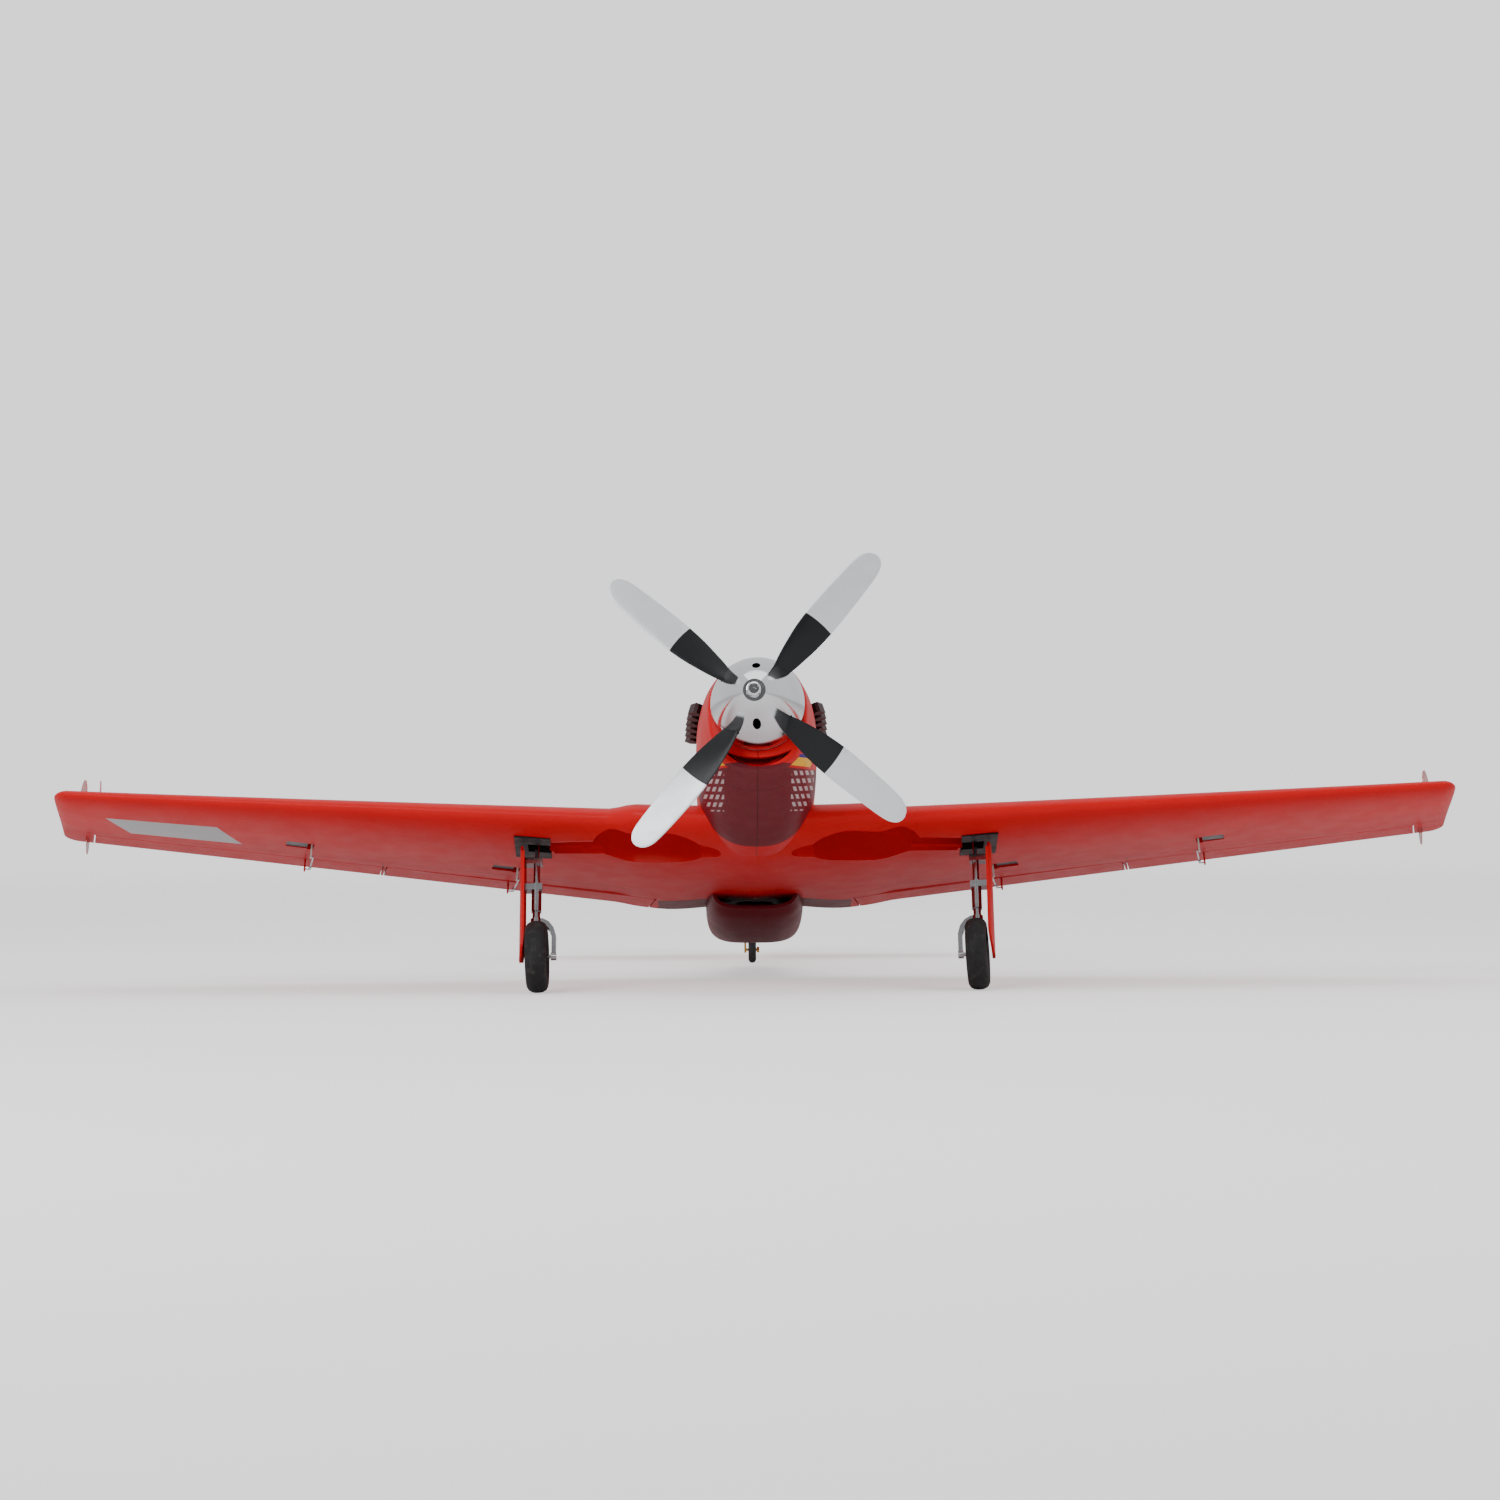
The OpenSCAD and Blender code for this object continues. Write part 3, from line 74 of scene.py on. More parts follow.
HORN_FOOT = (3, 12)
COVE_GAP = 0.85
FIT = 0.15
SHELL = 5
BORE_RADIUS = 33
SHARP_ANGLE = 32
TAIL_HALF_SPAN = 258
TAIL_TIP_ROUND = 18
# Front and rear edge of the tailplane at the middle and at the tip
TAIL_FRONT = (950, 986)
TAIL_REAR = (1096, 1084)
TAIL_THICKNESS = 0.1
ELEVATOR_START = 13
ELEVATOR_SPAN = 233
ELEVATOR_HORN_X = 22

BODY_ROWS = [
    [0, 46.5, -61.8, 47, -2, 2.0, 2.6],
    [25, 50, -66, 51, -3, 2.05, 2.45],
    [60, 54, -74, 55.5, -4, 2.1, 2.35],
    [120, 58, -86, 59.5, -7, 2.2, 2.3],
    [200, 61.5, -97, 61, -12, 2.3, 2.4],
    [300, 63, -97.5, 61, -15, 2.3, 2.4],
    [360, 58, -97, 60, -17, 2.3, 2.4],
    [440, 55, -96, 58.5, -19, 2.2, 2.3],
    [560, 54, -93, 54.5, -18, 2.1, 2.2],
    [680, 52, -84, 46.5, -13, 2.0, 2.1],
    [800, 48, -67, 36.5, -6, 2.0, 2.0],
    [900, 43, -50, 27, 0, 2.0, 2.0],
    [1000, 37, -30, 16.5, 6, 2.0, 2.0],
    [1060, 33, -18, 9.5, 9, 2.0, 2.0],
    [1086, 31, -12, 6.5, 10, 2.0, 2.0],
]
FIN_ROWS = [
    [-14, 930, 1122, 5.5], [0, 930, 1139, 6.2], [30, 932, 1152, 6.4],
    [60, 952, 1156, 6.0], [110, 990, 1152, 5.0], [150, 1019, 1142, 4.2],
    [172, 1037, 1131, 3.6], [183, 1054, 1120, 2.6], [186.5, 1070, 1108, 1.4],
]
SCOOP_ROWS = [
    [468, -111, 46.5], [490, -118, 50], [540, -122, 52.5], [620, -118.5, 51.5],
    [680, -108, 47], [740, -94, 40], [790, -80, 31],
]
CANOPY_ROWS = [
    [282, 63.5, 24], [300, 73, 29], [322, 86, 32.5], [345, 95, 34], [380, 101.5, 35],
    [420, 103, 35.5], [470, 98, 34], [520, 86, 30], [560, 71, 23], [584, 57, 14],
]
# Station and inset of the rounded lip
NOSE_LIP = (
    (4, 3.2), (4.25, 2.4), (4.6, 1.7), (5.2, 1.0), (6, 0.6), (7.2, 0.2), (9, 0), (15, 0), (22, 0),
)
# Radius and centre height of the arcs that bound the chin intake
CHIN_UPPER = (77, 25)
CHIN_LOWER = (42.6, -17.9)
# Station, lowest and highest height and half width along the scuttle
CHIN_DUCT_ROWS = [
    [12, -59.6, -50, 24], [16, -58.5, -48, 26], [20, -55, -45, 27], [26, -49, -40, 27], [32, -43, -36, 25],
]
BLADE_ROWS = [
    [22.5, 9, 0.95], [27, 10.5, 0.7], [35, 17.5, 0.34], [45, 22.5, 0.2], [60, 27, 0.15],
    [80, 31.5, 0.11], [105, 33, 0.09], [130, 31.5, 0.08], [150, 29.5, 0.075],
    [165, 27.2, 0.07], [173, 24.2, 0.07], [178.5, 18.6, 0.08], [181.8, 12, 0.1], [183.5, 4, 0.2],
]


# -------- frames
def turn(angle, axis):
    """Rotation by an angle in degrees about X, Y or Z."""
    return Matrix.Rotation(radians(angle), 4, axis)


def shift(x, y, z):
    return Matrix.Translation((x, y, z))


PARK = (
    shift(0, -NOSE_REACH / 1000, NOSE_HEIGHT / 1000)
    @ turn(-PARK_ANGLE, "X")
    @ Matrix.Scale(0.001, 4)
)
MIRROR = Matrix.Scale(-1, 4, (1, 0, 0))
TURN_X = turn(90, "Y")
TURN_S = turn(-90, "X")
SHAFT_LINE = PARK @ turn(-THRUST_TILT, "Z") @ turn(THRUST_TILT, "X")
# Local z runs forward along the shaft in THRUST, and aft in BORE
THRUST = SHAFT_LINE @ turn(90, "X")
BORE = SHAFT_LINE @ TURN_S
SIDES = {"left": PARK, "right": PARK @ MIRROR}


# -------- curves
def sign(v):
    return -1 if v < 0 else 1


def clamp01(v):
    return max(0.0, min(1.0, v))


def blend01(v):
    t = clamp01(v)
    return t * t * (3 - 2 * t)


def mix(a, b, t):
    return a + (b - a) * t


def row_slope(rows, k, c):
    i = max(0, k - 1)
    j = min(len(rows) - 1, k + 1)
    return (rows[j][c] - rows[i][c]) / (rows[j][0] - rows[i][0])


def curve(rows, t, c=1):
    """Smooth value in column c of rows sorted by their first column, at t."""
    i = 0
    for k in range(len(rows) - 1):
        if rows[k][0] <= t:
            i = k
    a, b = rows[i], rows[i + 1]
    h = b[0] - a[0]
    u = clamp01((t - a[0]) / h)
    value = a[c] * (2 * u**3 - 3 * u**2 + 1) + b[c] * (3 * u**2 - 2 * u**3)
    value += h * row_slope(rows, i, c) * (u**3 - 2 * u**2 + u)
    value += h * row_slope(rows, i + 1, c) * (u**3 - u**2)
    return value


def steps(start, end, count):
    """Evenly spaced values from start to end, both included."""
    return [mix(start, end, i / count) for i in range(count + 1)]


# -------- mesh building
def finish_mesh(name, work):
    """A new object from a bmesh, with its faces turned outwards."""
    bmesh.ops.recalc_face_normals(work, faces=work.faces)
    mesh = bpy.data.meshes.new(name)
    work.to_mesh(mesh)
    work.free()
    piece = bpy.data.objects.new(name, mesh)
    bpy.context.scene.collection.objects.link(piece)
    return piece


def solid(name, points, faces, place=PARK):
    work = bmesh.new()
    corners = [work.verts.new(place @ Vector(p)) for p in points]
    for face in faces:
        work.faces.new([corners[i] for i in face])
    return finish_mesh(name, work)


def loft(name, rings, place=PARK):
    """Closed skin through rings that all have the same number of points."""
    n = len(rings[0])
    m = len(rings)
    faces = []
    for j in range(m - 1):
        for i in range(n):
            a = j * n + i
            b = j * n + (i + 1) % n
            faces.append((a, b, b + n, a + n))
    faces.append(tuple(range(n)))
    faces.append(tuple(range((m - 1) * n, m * n)))
    return solid(name, [p for ring in rings for p in ring], faces, place)


def prism(outline, low, high, place=PARK, name="prism"):
    """An outline in local x and y, from z low to z high."""
    return loft(name, [[(x, y, low) for x, y in outline], [(x, y, high) for x, y in outline]], place)


def block(corner, size, place=PARK, name="block"):
    x, y, z = corner
    outline = [(x, y), (x + size[0], y), (x + size[0], y + size[1]), (x, y + size[1])]
    return prism(outline, z, z + size[2], place, name)


def circle(radius, count, x=0, y=0):
    return [
        (x + radius * cos(2 * pi * i / count), y + radius * sin(2 * pi * i / count))
        for i in range(count)
    ]


def cone(low, high, r_low, r_high, place=PARK, count=48, name="cone"):
    rings = [
        [(x, y, low) for x, y in circle(r_low, count)],
        [(x, y, high) for x, y in circle(r_high, count)],
    ]
    return loft(name, rings, place)


def hull(points, place=PARK, name="hull"):
    work = bmesh.new()
    for p in points:
        work.verts.new(place @ Vector(p))
    made = bmesh.ops.convex_hull(work, input=work.verts)
    inside = [g for g in made["geom_interior"] if isinstance(g, bmesh.types.BMVert)]
    bmesh.ops.delete(work, geom=inside, context="VERTS")
    return finish_mesh(name, work)


def lathe(profile, place, count=160, name="lathe"):
    """A closed profile of (radius, height) turned about local z."""
    work = bmesh.new()
    rings = []
    for k in range(count):
        a = 2 * pi * k / count
        rings.append([work.verts.new(place @ Vector((r * cos(a), r * sin(a), z))) for r, z in profile])
    for k in range(count):
        here, following = rings[k], rings[(k + 1) % count]
        for i in range(len(profile)):
            j = (i + 1) % len(profile)
            work.faces.new((here[i], here[j], following[j], following[i]))
    bmesh.ops.remove_doubles(work, verts=work.verts, dist=1e-7)
    return finish_mesh(name, work)


def apply_modifiers(piece):
    graph = bpy.context.evaluated_depsgraph_get()
    mesh = bpy.data.meshes.new_from_object(piece.evaluated_get(graph))
    piece.modifiers.clear()
    piece.data = mesh


def combine(piece, tools, operation):
    """Adds, removes or keeps the tools' solids, one after another, and deletes the tools."""
    for tool in tools:
        step = piece.modifiers.new("solid", "BOOLEAN")
        step.operation = operation
        step.solver = "MANIFOLD"
        step.object = tool
        apply_modifiers(piece)
        bpy.data.objects.remove(tool)
    return piece


def cut(piece, *tools):
    return combine(piece, tools, "DIFFERENCE")


def add(piece, *tools):
    return combine(piece, tools, "UNION")


def keep(piece, *tools):
    return combine(piece, tools, "INTERSECT")


def dress(piece, body, slot, nodes=(), paint=None):
    """Smooths a finished piece, paints it, as its slot unless told, and lets it ride on its body."""
    mesh = piece.data
    mesh.shade_smooth()
    mesh.set_sharp_from_angle(angle=radians(SHARP_ANGLE))
    mesh.materials.clear()
    mesh.materials.append(paint or MATERIALS[slot])
    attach(piece, body)
    if nodes:
        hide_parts(*nodes)
    return piece


# -------- fuselage form
def super_point(a, half, top, middle, bottom, up, down):
    over = cos(a) >= 0
    power = 2 / up if over else 2 / down
    tall = top - middle if over else middle - bottom
    x = half * sign(sin(a)) * abs(sin(a)) ** power
    return x, middle + tall * sign(cos(a)) * abs(cos(a)) ** power


def nose_shear(x, s, z):
    return s - (x + z) * tan(radians(THRUST_TILT)) * clamp01(1 - s / 60) ** 2


def body_ring(s, inset=0.0, count=112):
    top, bottom, half, middle, up, down = (curve(BODY_ROWS, s, column) for column in range(1, 7))
    half = max(0.5, half - inset)
    ring = []
    for i in range(count):
        x, z = super_point(-2 * pi * i / count, half, top - inset, middle, bottom + inset, up, down)
        ring.append((x, nose_shear(x, s, z), z))
    return ring


def body_form(start, end, step, inset=0.0, name="body_form"):
    return loft(name, [body_ring(s, inset) for s in steps(start, end, ceil((end - start) / step))])


# -------- wing form
def lead(x):
    return WING_FRONT + x * tan(radians(DIHEDRAL)) - ROOT_EXTENSION * blend01((152 - x) / 30)


def trail(x):
    return mix(WING_REAR, TIP_REAR, x / HALF_SPAN)


def wing_twist(x):
    return mix(CENTRE_INCIDENCE, INCIDENCE, blend01(x / PANEL_START)) - 0.3 * x / HALF_SPAN


def tip_shape(x, half_span=HALF_SPAN, reach=TIP_ROUND):
    """0 inside the rounded tip, rising along a quarter circle to 1 at its end."""
    u = clamp01((x - (half_span - reach)) / reach)
    return 1 - sqrt(max(0, 1 - u * u))


def tip_stations(half_span, reach):
    """Stations that close in on a rounded tip, the last one just short of its end."""
    stations = [half_span - reach + reach * sin(radians(7.5 * i)) for i in range(1, 13)]
    stations[-1] -= 0.02
    return stations


def half_thick(u):
    """Half thickness of a wing section of unit chord, with a blunt trailing edge."""
    return 5 * (0.2969 * sqrt(u) - 0.126 * u - 0.3516 * u**2 + 0.2843 * u**3 - 0.0985 * u**4)


def wing_point(x, u, side, grow=0.0):
    """Point on the wing: u from 0 at the leading edge to 1, side 1 on top and -1 below."""
    tip = tip_shape(x)
    front = lead(x) + 26 * tip - grow
    chord = trail(x) - 10 * tip + grow - front
    thick = chord * mix(0.148, 0.112, x / HALF_SPAN) * (1 - 0.75 * tip)
    skin = thick * half_thick(u) + grow
    belly = 0.0
    if side < 0:
        belly = 3 * blend01((60 - x) / 60) * blend01(u / 0.1) * blend01((1 - u) / 0.2)
    lean = 7 * (u - 1) * blend01((x - 600) / 125)
    drop = chord * u * tan(radians(wing_twist(x)))
    height = WING_DROP + x * tan(radians(DIHEDRAL)) + chord * 0.06 * u * (1 - u)
    return x + lean, front + chord * u, height - drop + side * skin - belly


def wing_section(x, grow, count):
    top = [wing_point(x, (1 - cos(pi * i / count)) / 2, 1, grow) for i in range(count + 1)]
    under = [wing_point(x, (1 - cos(pi * i / count)) / 2, -1, grow) for i in range(count, 0, -1)]
    return top + under


def wing_form(place, grow=0.0, count=44, name="wing_form"):
    stations = steps(0, HALF_SPAN - TIP_ROUND, 76) + tip_stations(HALF_SPAN, TIP_ROUND)
    return loft(name, [wing_section(x, grow, count) for x in stations], place)


def wing_saddle():
    return [wing_form(place, FIT) for place in SIDES.values()]


def wing_share(x, s):
    return (s - lead(x)) / (trail(x) - lead(x))


def wing_over(x, s):
    return wing_point(x, wing_share(x, s), 1)[2]


def wing_under(x, s):
    return wing_point(x, wing_share(x, s), -1)[2]


# -------- hinge lines of the wing
class Hinge:
    """A hinge line between two stations, each with the surface's chord there."""

    def __init__(self, x1, chord1, x2, chord2):
        self.start = self.point(x1, chord1)
        self.end = self.point(x2, chord2)
        self.radii = [
            (wing_over(p.x, p.y) - wing_under(p.x, p.y)) / 2 - 0.1 for p in (self.start, self.end)
        ]
        self.length = (self.end - self.start).length
        self.along = (self.end - self.start).normalized()
        self.aft = Vector((0, 0, 1)).cross(self.along).normalized()
        self.up = self.along.cross(self.aft)

    @staticmethod
    def point(x, chord):
        s = trail(x) - chord
        return Vector((x, s, (wing_over(x, s) + wing_under(x, s)) / 2))

    def place(self, side, distance=0.0):
        """Local x along the hinge, y aft, z up, starting at a distance from the inner end."""
        rows = Matrix((self.along, self.aft, self.up)).transposed().to_4x4()
        return SIDES[side] @ Matrix.Translation(self.start + self.along * distance) @ rows

    def roll(self, side, grow=0.0, over=0.0):
        """Rounded nose of a surface, or the cove that it turns in."""
        place = self.place(side, -over) @ TURN_X
        return cone(0, self.length + 2 * over, self.radii[0] + grow, self.radii[1] + grow, place, 64)

    def behind(self, side, over=0.0):
        """Everything behind the hinge line, between its ends."""
        return block((0, 0, -40), (self.length + 2 * over, 120, 80), self.place(side, -over))

    def foot(self, distance, aft):
        """Depth of the underside below the hinge line, at a place on the surface."""
        p = self.start + self.along * distance + self.aft * aft
        return p.z - wing_under(p.x, p.y) + 0.1


FLAP = Hinge(106, 50, 389, 44.5)
AILERON = Hinge(394, 44, 693, 36)
LINK_PLACE = {"aileron": 82, "flap": 158}
WING_LINK = (60, -1)
ELEVATOR_LINK = (110, 28)
RUDDER_LINK = (187, 13)
TAIL_HINGE_S = 1054
TAIL_HEIGHT = 40
RUDDER_HINGE_S = 1092
ELEVATOR_PLACE = PARK @ shift(ELEVATOR_HORN_X, TAIL_HINGE_S, TAIL_HEIGHT) @ MIRROR
RUDDER_PLACE = PARK @ shift(0, RUDDER_HINGE_S, 8) @ TURN_X


def at_shaft(link):
    return shift(0, -link[0], -link[1])


def build_horn(name, body, place, depths):
    """Control horn whose foot lies on the skin, at the depths of its front and rear end."""
    outline = [
        (HORN_LENGTH + 2.6, -1.6), (HORN_LENGTH + 2.6, 1.6), (HORN_LENGTH - 1, 3),
        (depths[1], HORN_FOOT[1]), (depths[0], HORN_FOOT[0]), (HORN_LENGTH - 1, -3),
    ]
    leaf = prism(outline, -0.8, 0.8, place @ TURN_X, name)
    cut(leaf, cone(-2, 2, 0.72, 0.72, place @ shift(0, 0, -HORN_LENGTH) @ TURN_X, 24))
    dress(leaf, body, "red_foam")


def servo_room(place, height):
    """Room for a servo's case, from its shaft's place down to height below it."""
    return block((1.7, -17.3, -6.3), (22.6, 23.6, height), place)


# -------- main gear
PIVOT = (225, 302, -66)
LEG_RAKE = 16.1
LEG_LENGTH = (
    NOSE_HEIGHT + PIVOT[2] * cos(radians(PARK_ANGLE)) - PIVOT[1] * sin(radians(PARK_ANGLE)) - WHEEL_RADIUS
) / cos(radians(PARK_ANGLE + LEG_RAKE))
WHEEL_X = HALF_TRACK - PIVOT[0]
RETRACT_TURN = 87.5
PLATE_X = 229.5
PLATE_FRONT = 270
PLATE_REAR = 334
WELL_DEPTH = 100


def at_leg(side, folded=False):
    turned = turn(RETRACT_TURN, "Y") if folded else Matrix.Identity(4)
    return SIDES[side] @ shift(*PIVOT) @ turned @ turn(-LEG_RAKE, "X") @ turn(-TOE[side], "Z")


def at_plate(side):
    middle = (PLATE_FRONT + PLATE_REAR) / 2
    rise = wing_under(PLATE_X, PLATE_REAR) - wing_under(PLATE_X, PLATE_FRONT)
    slope = degrees(atan(rise / (PLATE_REAR - PLATE_FRONT)))
    place = shift(PLATE_X, middle, wing_under(PLATE_X, middle))
    return SIDES[side] @ place @ turn(-DIHEDRAL, "Y") @ turn(slope, "X")


def gear_well(side):
    """What the folded leg, wheel and door need, open downwards."""
    leg = at_leg(side, folded=True)
    start = WHEEL_X - TYRE_WIDTH / 2 - 1.2
    wheel = []
    for outward in (0, 37):
        for x in (start, start + WELL_DEPTH):
            for y, z in circle(WHEEL_RADIUS + 3, 96):
                wheel.append((x, y, z + outward - LEG_LENGTH))
    shallow = []
    for x, low, radius in ((52, -184, 16), (82, -181, 26)):
        for z in (low, low + WELL_DEPTH):
            shallow += [(px, py, z) for px, py in circle(radius, 64, x, 263)]
    plate = at_plate(side)
    return [
        hull(wheel, leg),
        block((-8.5, -10, -LEG_LENGTH + 20), (WELL_DEPTH, 20, LEG_LENGTH - 26), leg),
        block((-21.8, -8, -LEG_LENGTH - 7), (WELL_DEPTH, 16, 62), leg),
        block((9, -18.5, -LEG_LENGTH - 9), (WELL_DEPTH, 37, LEG_LENGTH - 5), leg),
        block((-18.8, -32.3, -100.6), (37.6, 64.6, 102.3), plate),
        block((-16.8, -25.3, -100.6), (33.6, 50.6, 125.3), plate),
        hull(shallow, SIDES[side]),
    ]


# -------- painting
def linear(red, green, blue):
    """Shader colour from the 0 to 255 values seen on a screen."""
    values = []
    for v in (red, green, blue):
        share = v / 255
        values.append(share / 12.92 if share <= 0.04045 else ((share + 0.055) / 1.055) ** 2.4)
    return (*values, 1.0)


RED = (0.60, 0.0010, 0.004, 1.0)
# Painted shade: a darker red for the rear and outer parts of the wings
SHADED_RED = (0.50, 0.0010, 0.006, 1.0)
MAROON = (0.135, 0.005, 0.012, 1.0)
SOOT = (0.032, 0.005, 0.007, 1.0)
BACKDROP = (1.43, 1.43, 1.46, 1.0)
YELLOW = (0.80, 0.42, 0.012, 1.0)
BLUE = (0.012, 0.016, 0.20, 1.0)
PALE = linear(186, 164, 164)
SILVER = linear(176, 180, 182)


class Paint:
    """A node material: sockets are made by its methods and joined to the shader at the end."""

    def __init__(self, name, **values):
        self.material = bpy.data.materials.new(name)
        self.material.use_nodes = True
        self.nodes = self.material.node_tree.nodes
        self.links = self.material.node_tree.links
        self.shader = self.nodes["Principled BSDF"]
        self.coordinates = self.nodes.new("ShaderNodeTexCoord").outputs["Object"]
        for key, value in values.items():
            self.shader.inputs[key.replace("_", " ")].default_value = value

    def join(self, value, socket):
        if isinstance(value, bpy.types.NodeSocket):
            self.links.new(value, socket)
        else:
            socket.default_value = value

    def math(self, operation, a, b=0.0, c=0.0):
        node = self.nodes.new("ShaderNodeMath")
        node.operation = operation
        for value, socket in zip((a, b, c), node.inputs):
            self.join(value, socket)
        return node.outputs[0]

    def mix(self, share, a, b):
        node = self.nodes.new("ShaderNodeMix")
        node.data_type = "RGBA"
        self.join(share, node.inputs["Factor"])
        self.join(a, node.inputs["A"])
        self.join(b, node.inputs["B"])
        return node.outputs["Result"]

    def ramp(self, value, low, high, to_low=0.0, to_high=1.0):
        """Value carried smoothly from the range low to high onto another range."""
        node = self.nodes.new("ShaderNodeMapRange")
        node.interpolation_type = "SMOOTHSTEP"
        for part, socket in zip((value, low, high, to_low, to_high), node.inputs):
            self.join(part, socket)
        return node.outputs[0]

    def band(self, value, low, high, soft=0.3):
        """1 between low and high, 0 elsewhere."""
        rise = self.ramp(value, low - soft, low + soft)
        fall = self.ramp(value, high - soft, high + soft, 1.0, 0.0)
        return self.math("MULTIPLY", rise, fall)

    def all_of(self, *masks):
        made = masks[0]
        for mask in masks[1:]:
            made = self.math("MULTIPLY", made, mask)
        return made

    def any_of(self, *masks):
        made = masks[0]
        for mask in masks[1:]:
            made = self.math("MAXIMUM", made, mask)
        return made

    def noise(self, scale, detail=2.0, where=None):
        node = self.nodes.new("ShaderNodeTexNoise")
        self.links.new(where or self.coordinates, node.inputs["Vector"])
        node.inputs["Scale"].default_value = scale
        node.inputs["Detail"].default_value = detail
        return node.outputs[0]

    def patches(self, scale, detail, low, high):
        """Soft patches whose value runs from low to high."""
        return self.ramp(self.noise(scale, detail), 0.3, 0.7, low, high)

    def cells(self, scale):
        """Distance to the nearest cell centre of a random packing."""
        node = self.nodes.new("ShaderNodeTexVoronoi")
        self.links.new(self.coordinates, node.inputs["Vector"])
        node.inputs["Scale"].default_value = scale
        return node.outputs["Distance"]

    def mapped(self, scale, rotation=(0, 0, 0), location=(0, 0, 0)):
        """Coordinates of the shaded point, scaled, turned and moved."""
        node = self.nodes.new("ShaderNodeMapping")
        for key, value in (("Scale", scale), ("Rotation", rotation), ("Location", location)):
            node.inputs[key].default_value = value
        self.links.new(self.coordinates, node.inputs["Vector"])
        return node.outputs[0]

    def vector(self, operation, *values):
        node = self.nodes.new("ShaderNodeVectorMath")
        node.operation = operation
        for value, socket in zip(values, node.inputs):
            self.join(value, socket)
        return node.outputs

    def body(self):
        """Body coordinates x, s and z of the shaded point, in millimetres."""
        nose = turn(PARK_ANGLE, "X") @ Vector((0, -NOSE_REACH, NOSE_HEIGHT))
        return self.parts(self.mapped((1000, 1000, 1000), (radians(PARK_ANGLE), 0, 0), -nose))

    def parts(self, vector):
        node = self.nodes.new("ShaderNodeSeparateXYZ")
        self.links.new(vector, node.inputs[0])
        return list(node.outputs)

    def varied(self, colour, amount, scale):
        """A colour that is a little darker and lighter in soft patches."""
        node = self.nodes.new("ShaderNodeHueSaturation")
        self.join(self.patches(scale, 3.0, 1.0 - amount, 1.0 + amount), node.inputs["Value"])
        self.join(colour, node.inputs["Color"])
        return node.outputs[0]

    def finish(self, colour, roughness, height=None, depth=0.0002, strength=1.0):
        self.join(colour, self.shader.inputs["Base Color"])
        self.join(roughness, self.shader.inputs["Roughness"])
        if height is not None:
            bump = self.nodes.new("ShaderNodeBump")
            bump.inputs["Strength"].default_value = strength
            bump.inputs["Distance"].default_value = depth
            self.links.new(height, bump.inputs["Height"])
            self.links.new(bump.outputs[0], self.shader.inputs["Normal"])
        return self.material


def foam_base(name):
    return Paint(name, Specular_IOR_Level=0.16, Coat_Weight=0.04, Coat_Roughness=0.2)


def foam_finish(paint, colour, groove=None):
    """Painted moulded foam: faint beads under a satin paint, with shallow grooves."""
    beads = paint.ramp(paint.cells(330.0), 0.0, 0.75, 1.0, 0.0)
    uneven = paint.noise(60.0, 3.0)
    height = paint.math("MULTIPLY_ADD", beads, 0.2, paint.math("MULTIPLY", uneven, 0.05))
    if groove is not None:
        height = paint.math("MULTIPLY_ADD", groove, -1.6, height)
        colour = paint.mix(paint.math("MULTIPLY", groove, 0.55), colour, linear(70, 10, 12))
    roughness = paint.patches(45.0, 4.0, 0.44, 0.5)
    return paint.finish(paint.varied(colour, 0.035, 14.0), roughness, height, 0.00035)


def decal_blocks(paint, across, up, columns, rows, pitch):
    """Mask of a regular block pattern: small slanted rectangles with gaps between them."""
    slanted = paint.math("MULTIPLY_ADD", up, 0.35, across)
    in_column = paint.math("FRACT", paint.math("DIVIDE", slanted, pitch[0]))
    in_row = paint.math("FRACT", paint.math("DIVIDE", up, pitch[1]))
    area = paint.all_of(paint.band(across, *columns, 0.05), paint.band(up, *rows, 0.05))
    filled = (paint.band(in_column, 0.22, 0.76, 0.04), paint.band(in_row, 0.2, 0.76, 0.04))
    return paint.all_of(*filled, area)


def fuselage_paint():
    paint = foam_base("fuselage_foam")
    x, s, z = paint.body()
    world = paint.parts(paint.coordinates)
    aside = paint.math("ABSOLUTE", x)
    level = paint.math("MULTIPLY_ADD", world[2], 1000.0, paint.math("MULTIPLY", aside, 0.13))
    cowl = paint.all_of(paint.ramp(level, 231.7, 232.3, 1.0, 0.0), paint.band(s, 22.0, 211.5))
    lip = paint.all_of(paint.ramp(level, 235.7, 236.3, 1.0, 0.0), paint.band(s, 6.5, 22.4))
    maroon = paint.any_of(cowl, lip)
    colour = paint.mix(maroon, RED, MAROON)
    stripe = paint.all_of(paint.band(level, 234.4, 243.0), paint.band(s, 22.4, 89.5))
    colour = paint.mix(stripe, colour, YELLOW)
    edge = paint.all_of(paint.band(level, 243.0, 246.5), paint.band(s, 22.4, 74.5))
    colour = paint.mix(paint.all_of(edge, paint.ramp(x, 18.0, 19.0)), colour, BLUE)
    colour = paint.mix(paint.all_of(edge, paint.ramp(x, -18.0, -19.0)), colour, PALE)
    # Plain block pattern on both cheeks
    cheek = paint.ramp(aside, 30.0, 31.0)
    height = paint.math("MULTIPLY", world[2], 1000.0)
    blocks = decal_blocks(paint, aside, height, (33.0, 57.0), (184.0, 225.0), (5.9, 7.8))
    colour = paint.mix(paint.all_of(blocks, maroon, paint.band(s, 40.0, 170.0)), colour, PALE)
    # Soot-dark panel that the exhaust stubs stand on
    panel = paint.all_of(paint.band(s, 86.0, 216.0), paint.band(z, 6.0, 24.0), cheek)
    colour = paint.mix(panel, colour, SOOT)
    # Glue seam of the two halves, cowl joints and the wing's saddle
    seam = paint.band(x, -0.35, 0.35, 0.2)
    joint = paint.band(s, 57.6, 58.4, 0.25)
    service = paint.all_of(paint.band(s, 641.6, 642.4, 0.25), cheek)
    return foam_finish(paint, colour, paint.any_of(seam, joint, service))


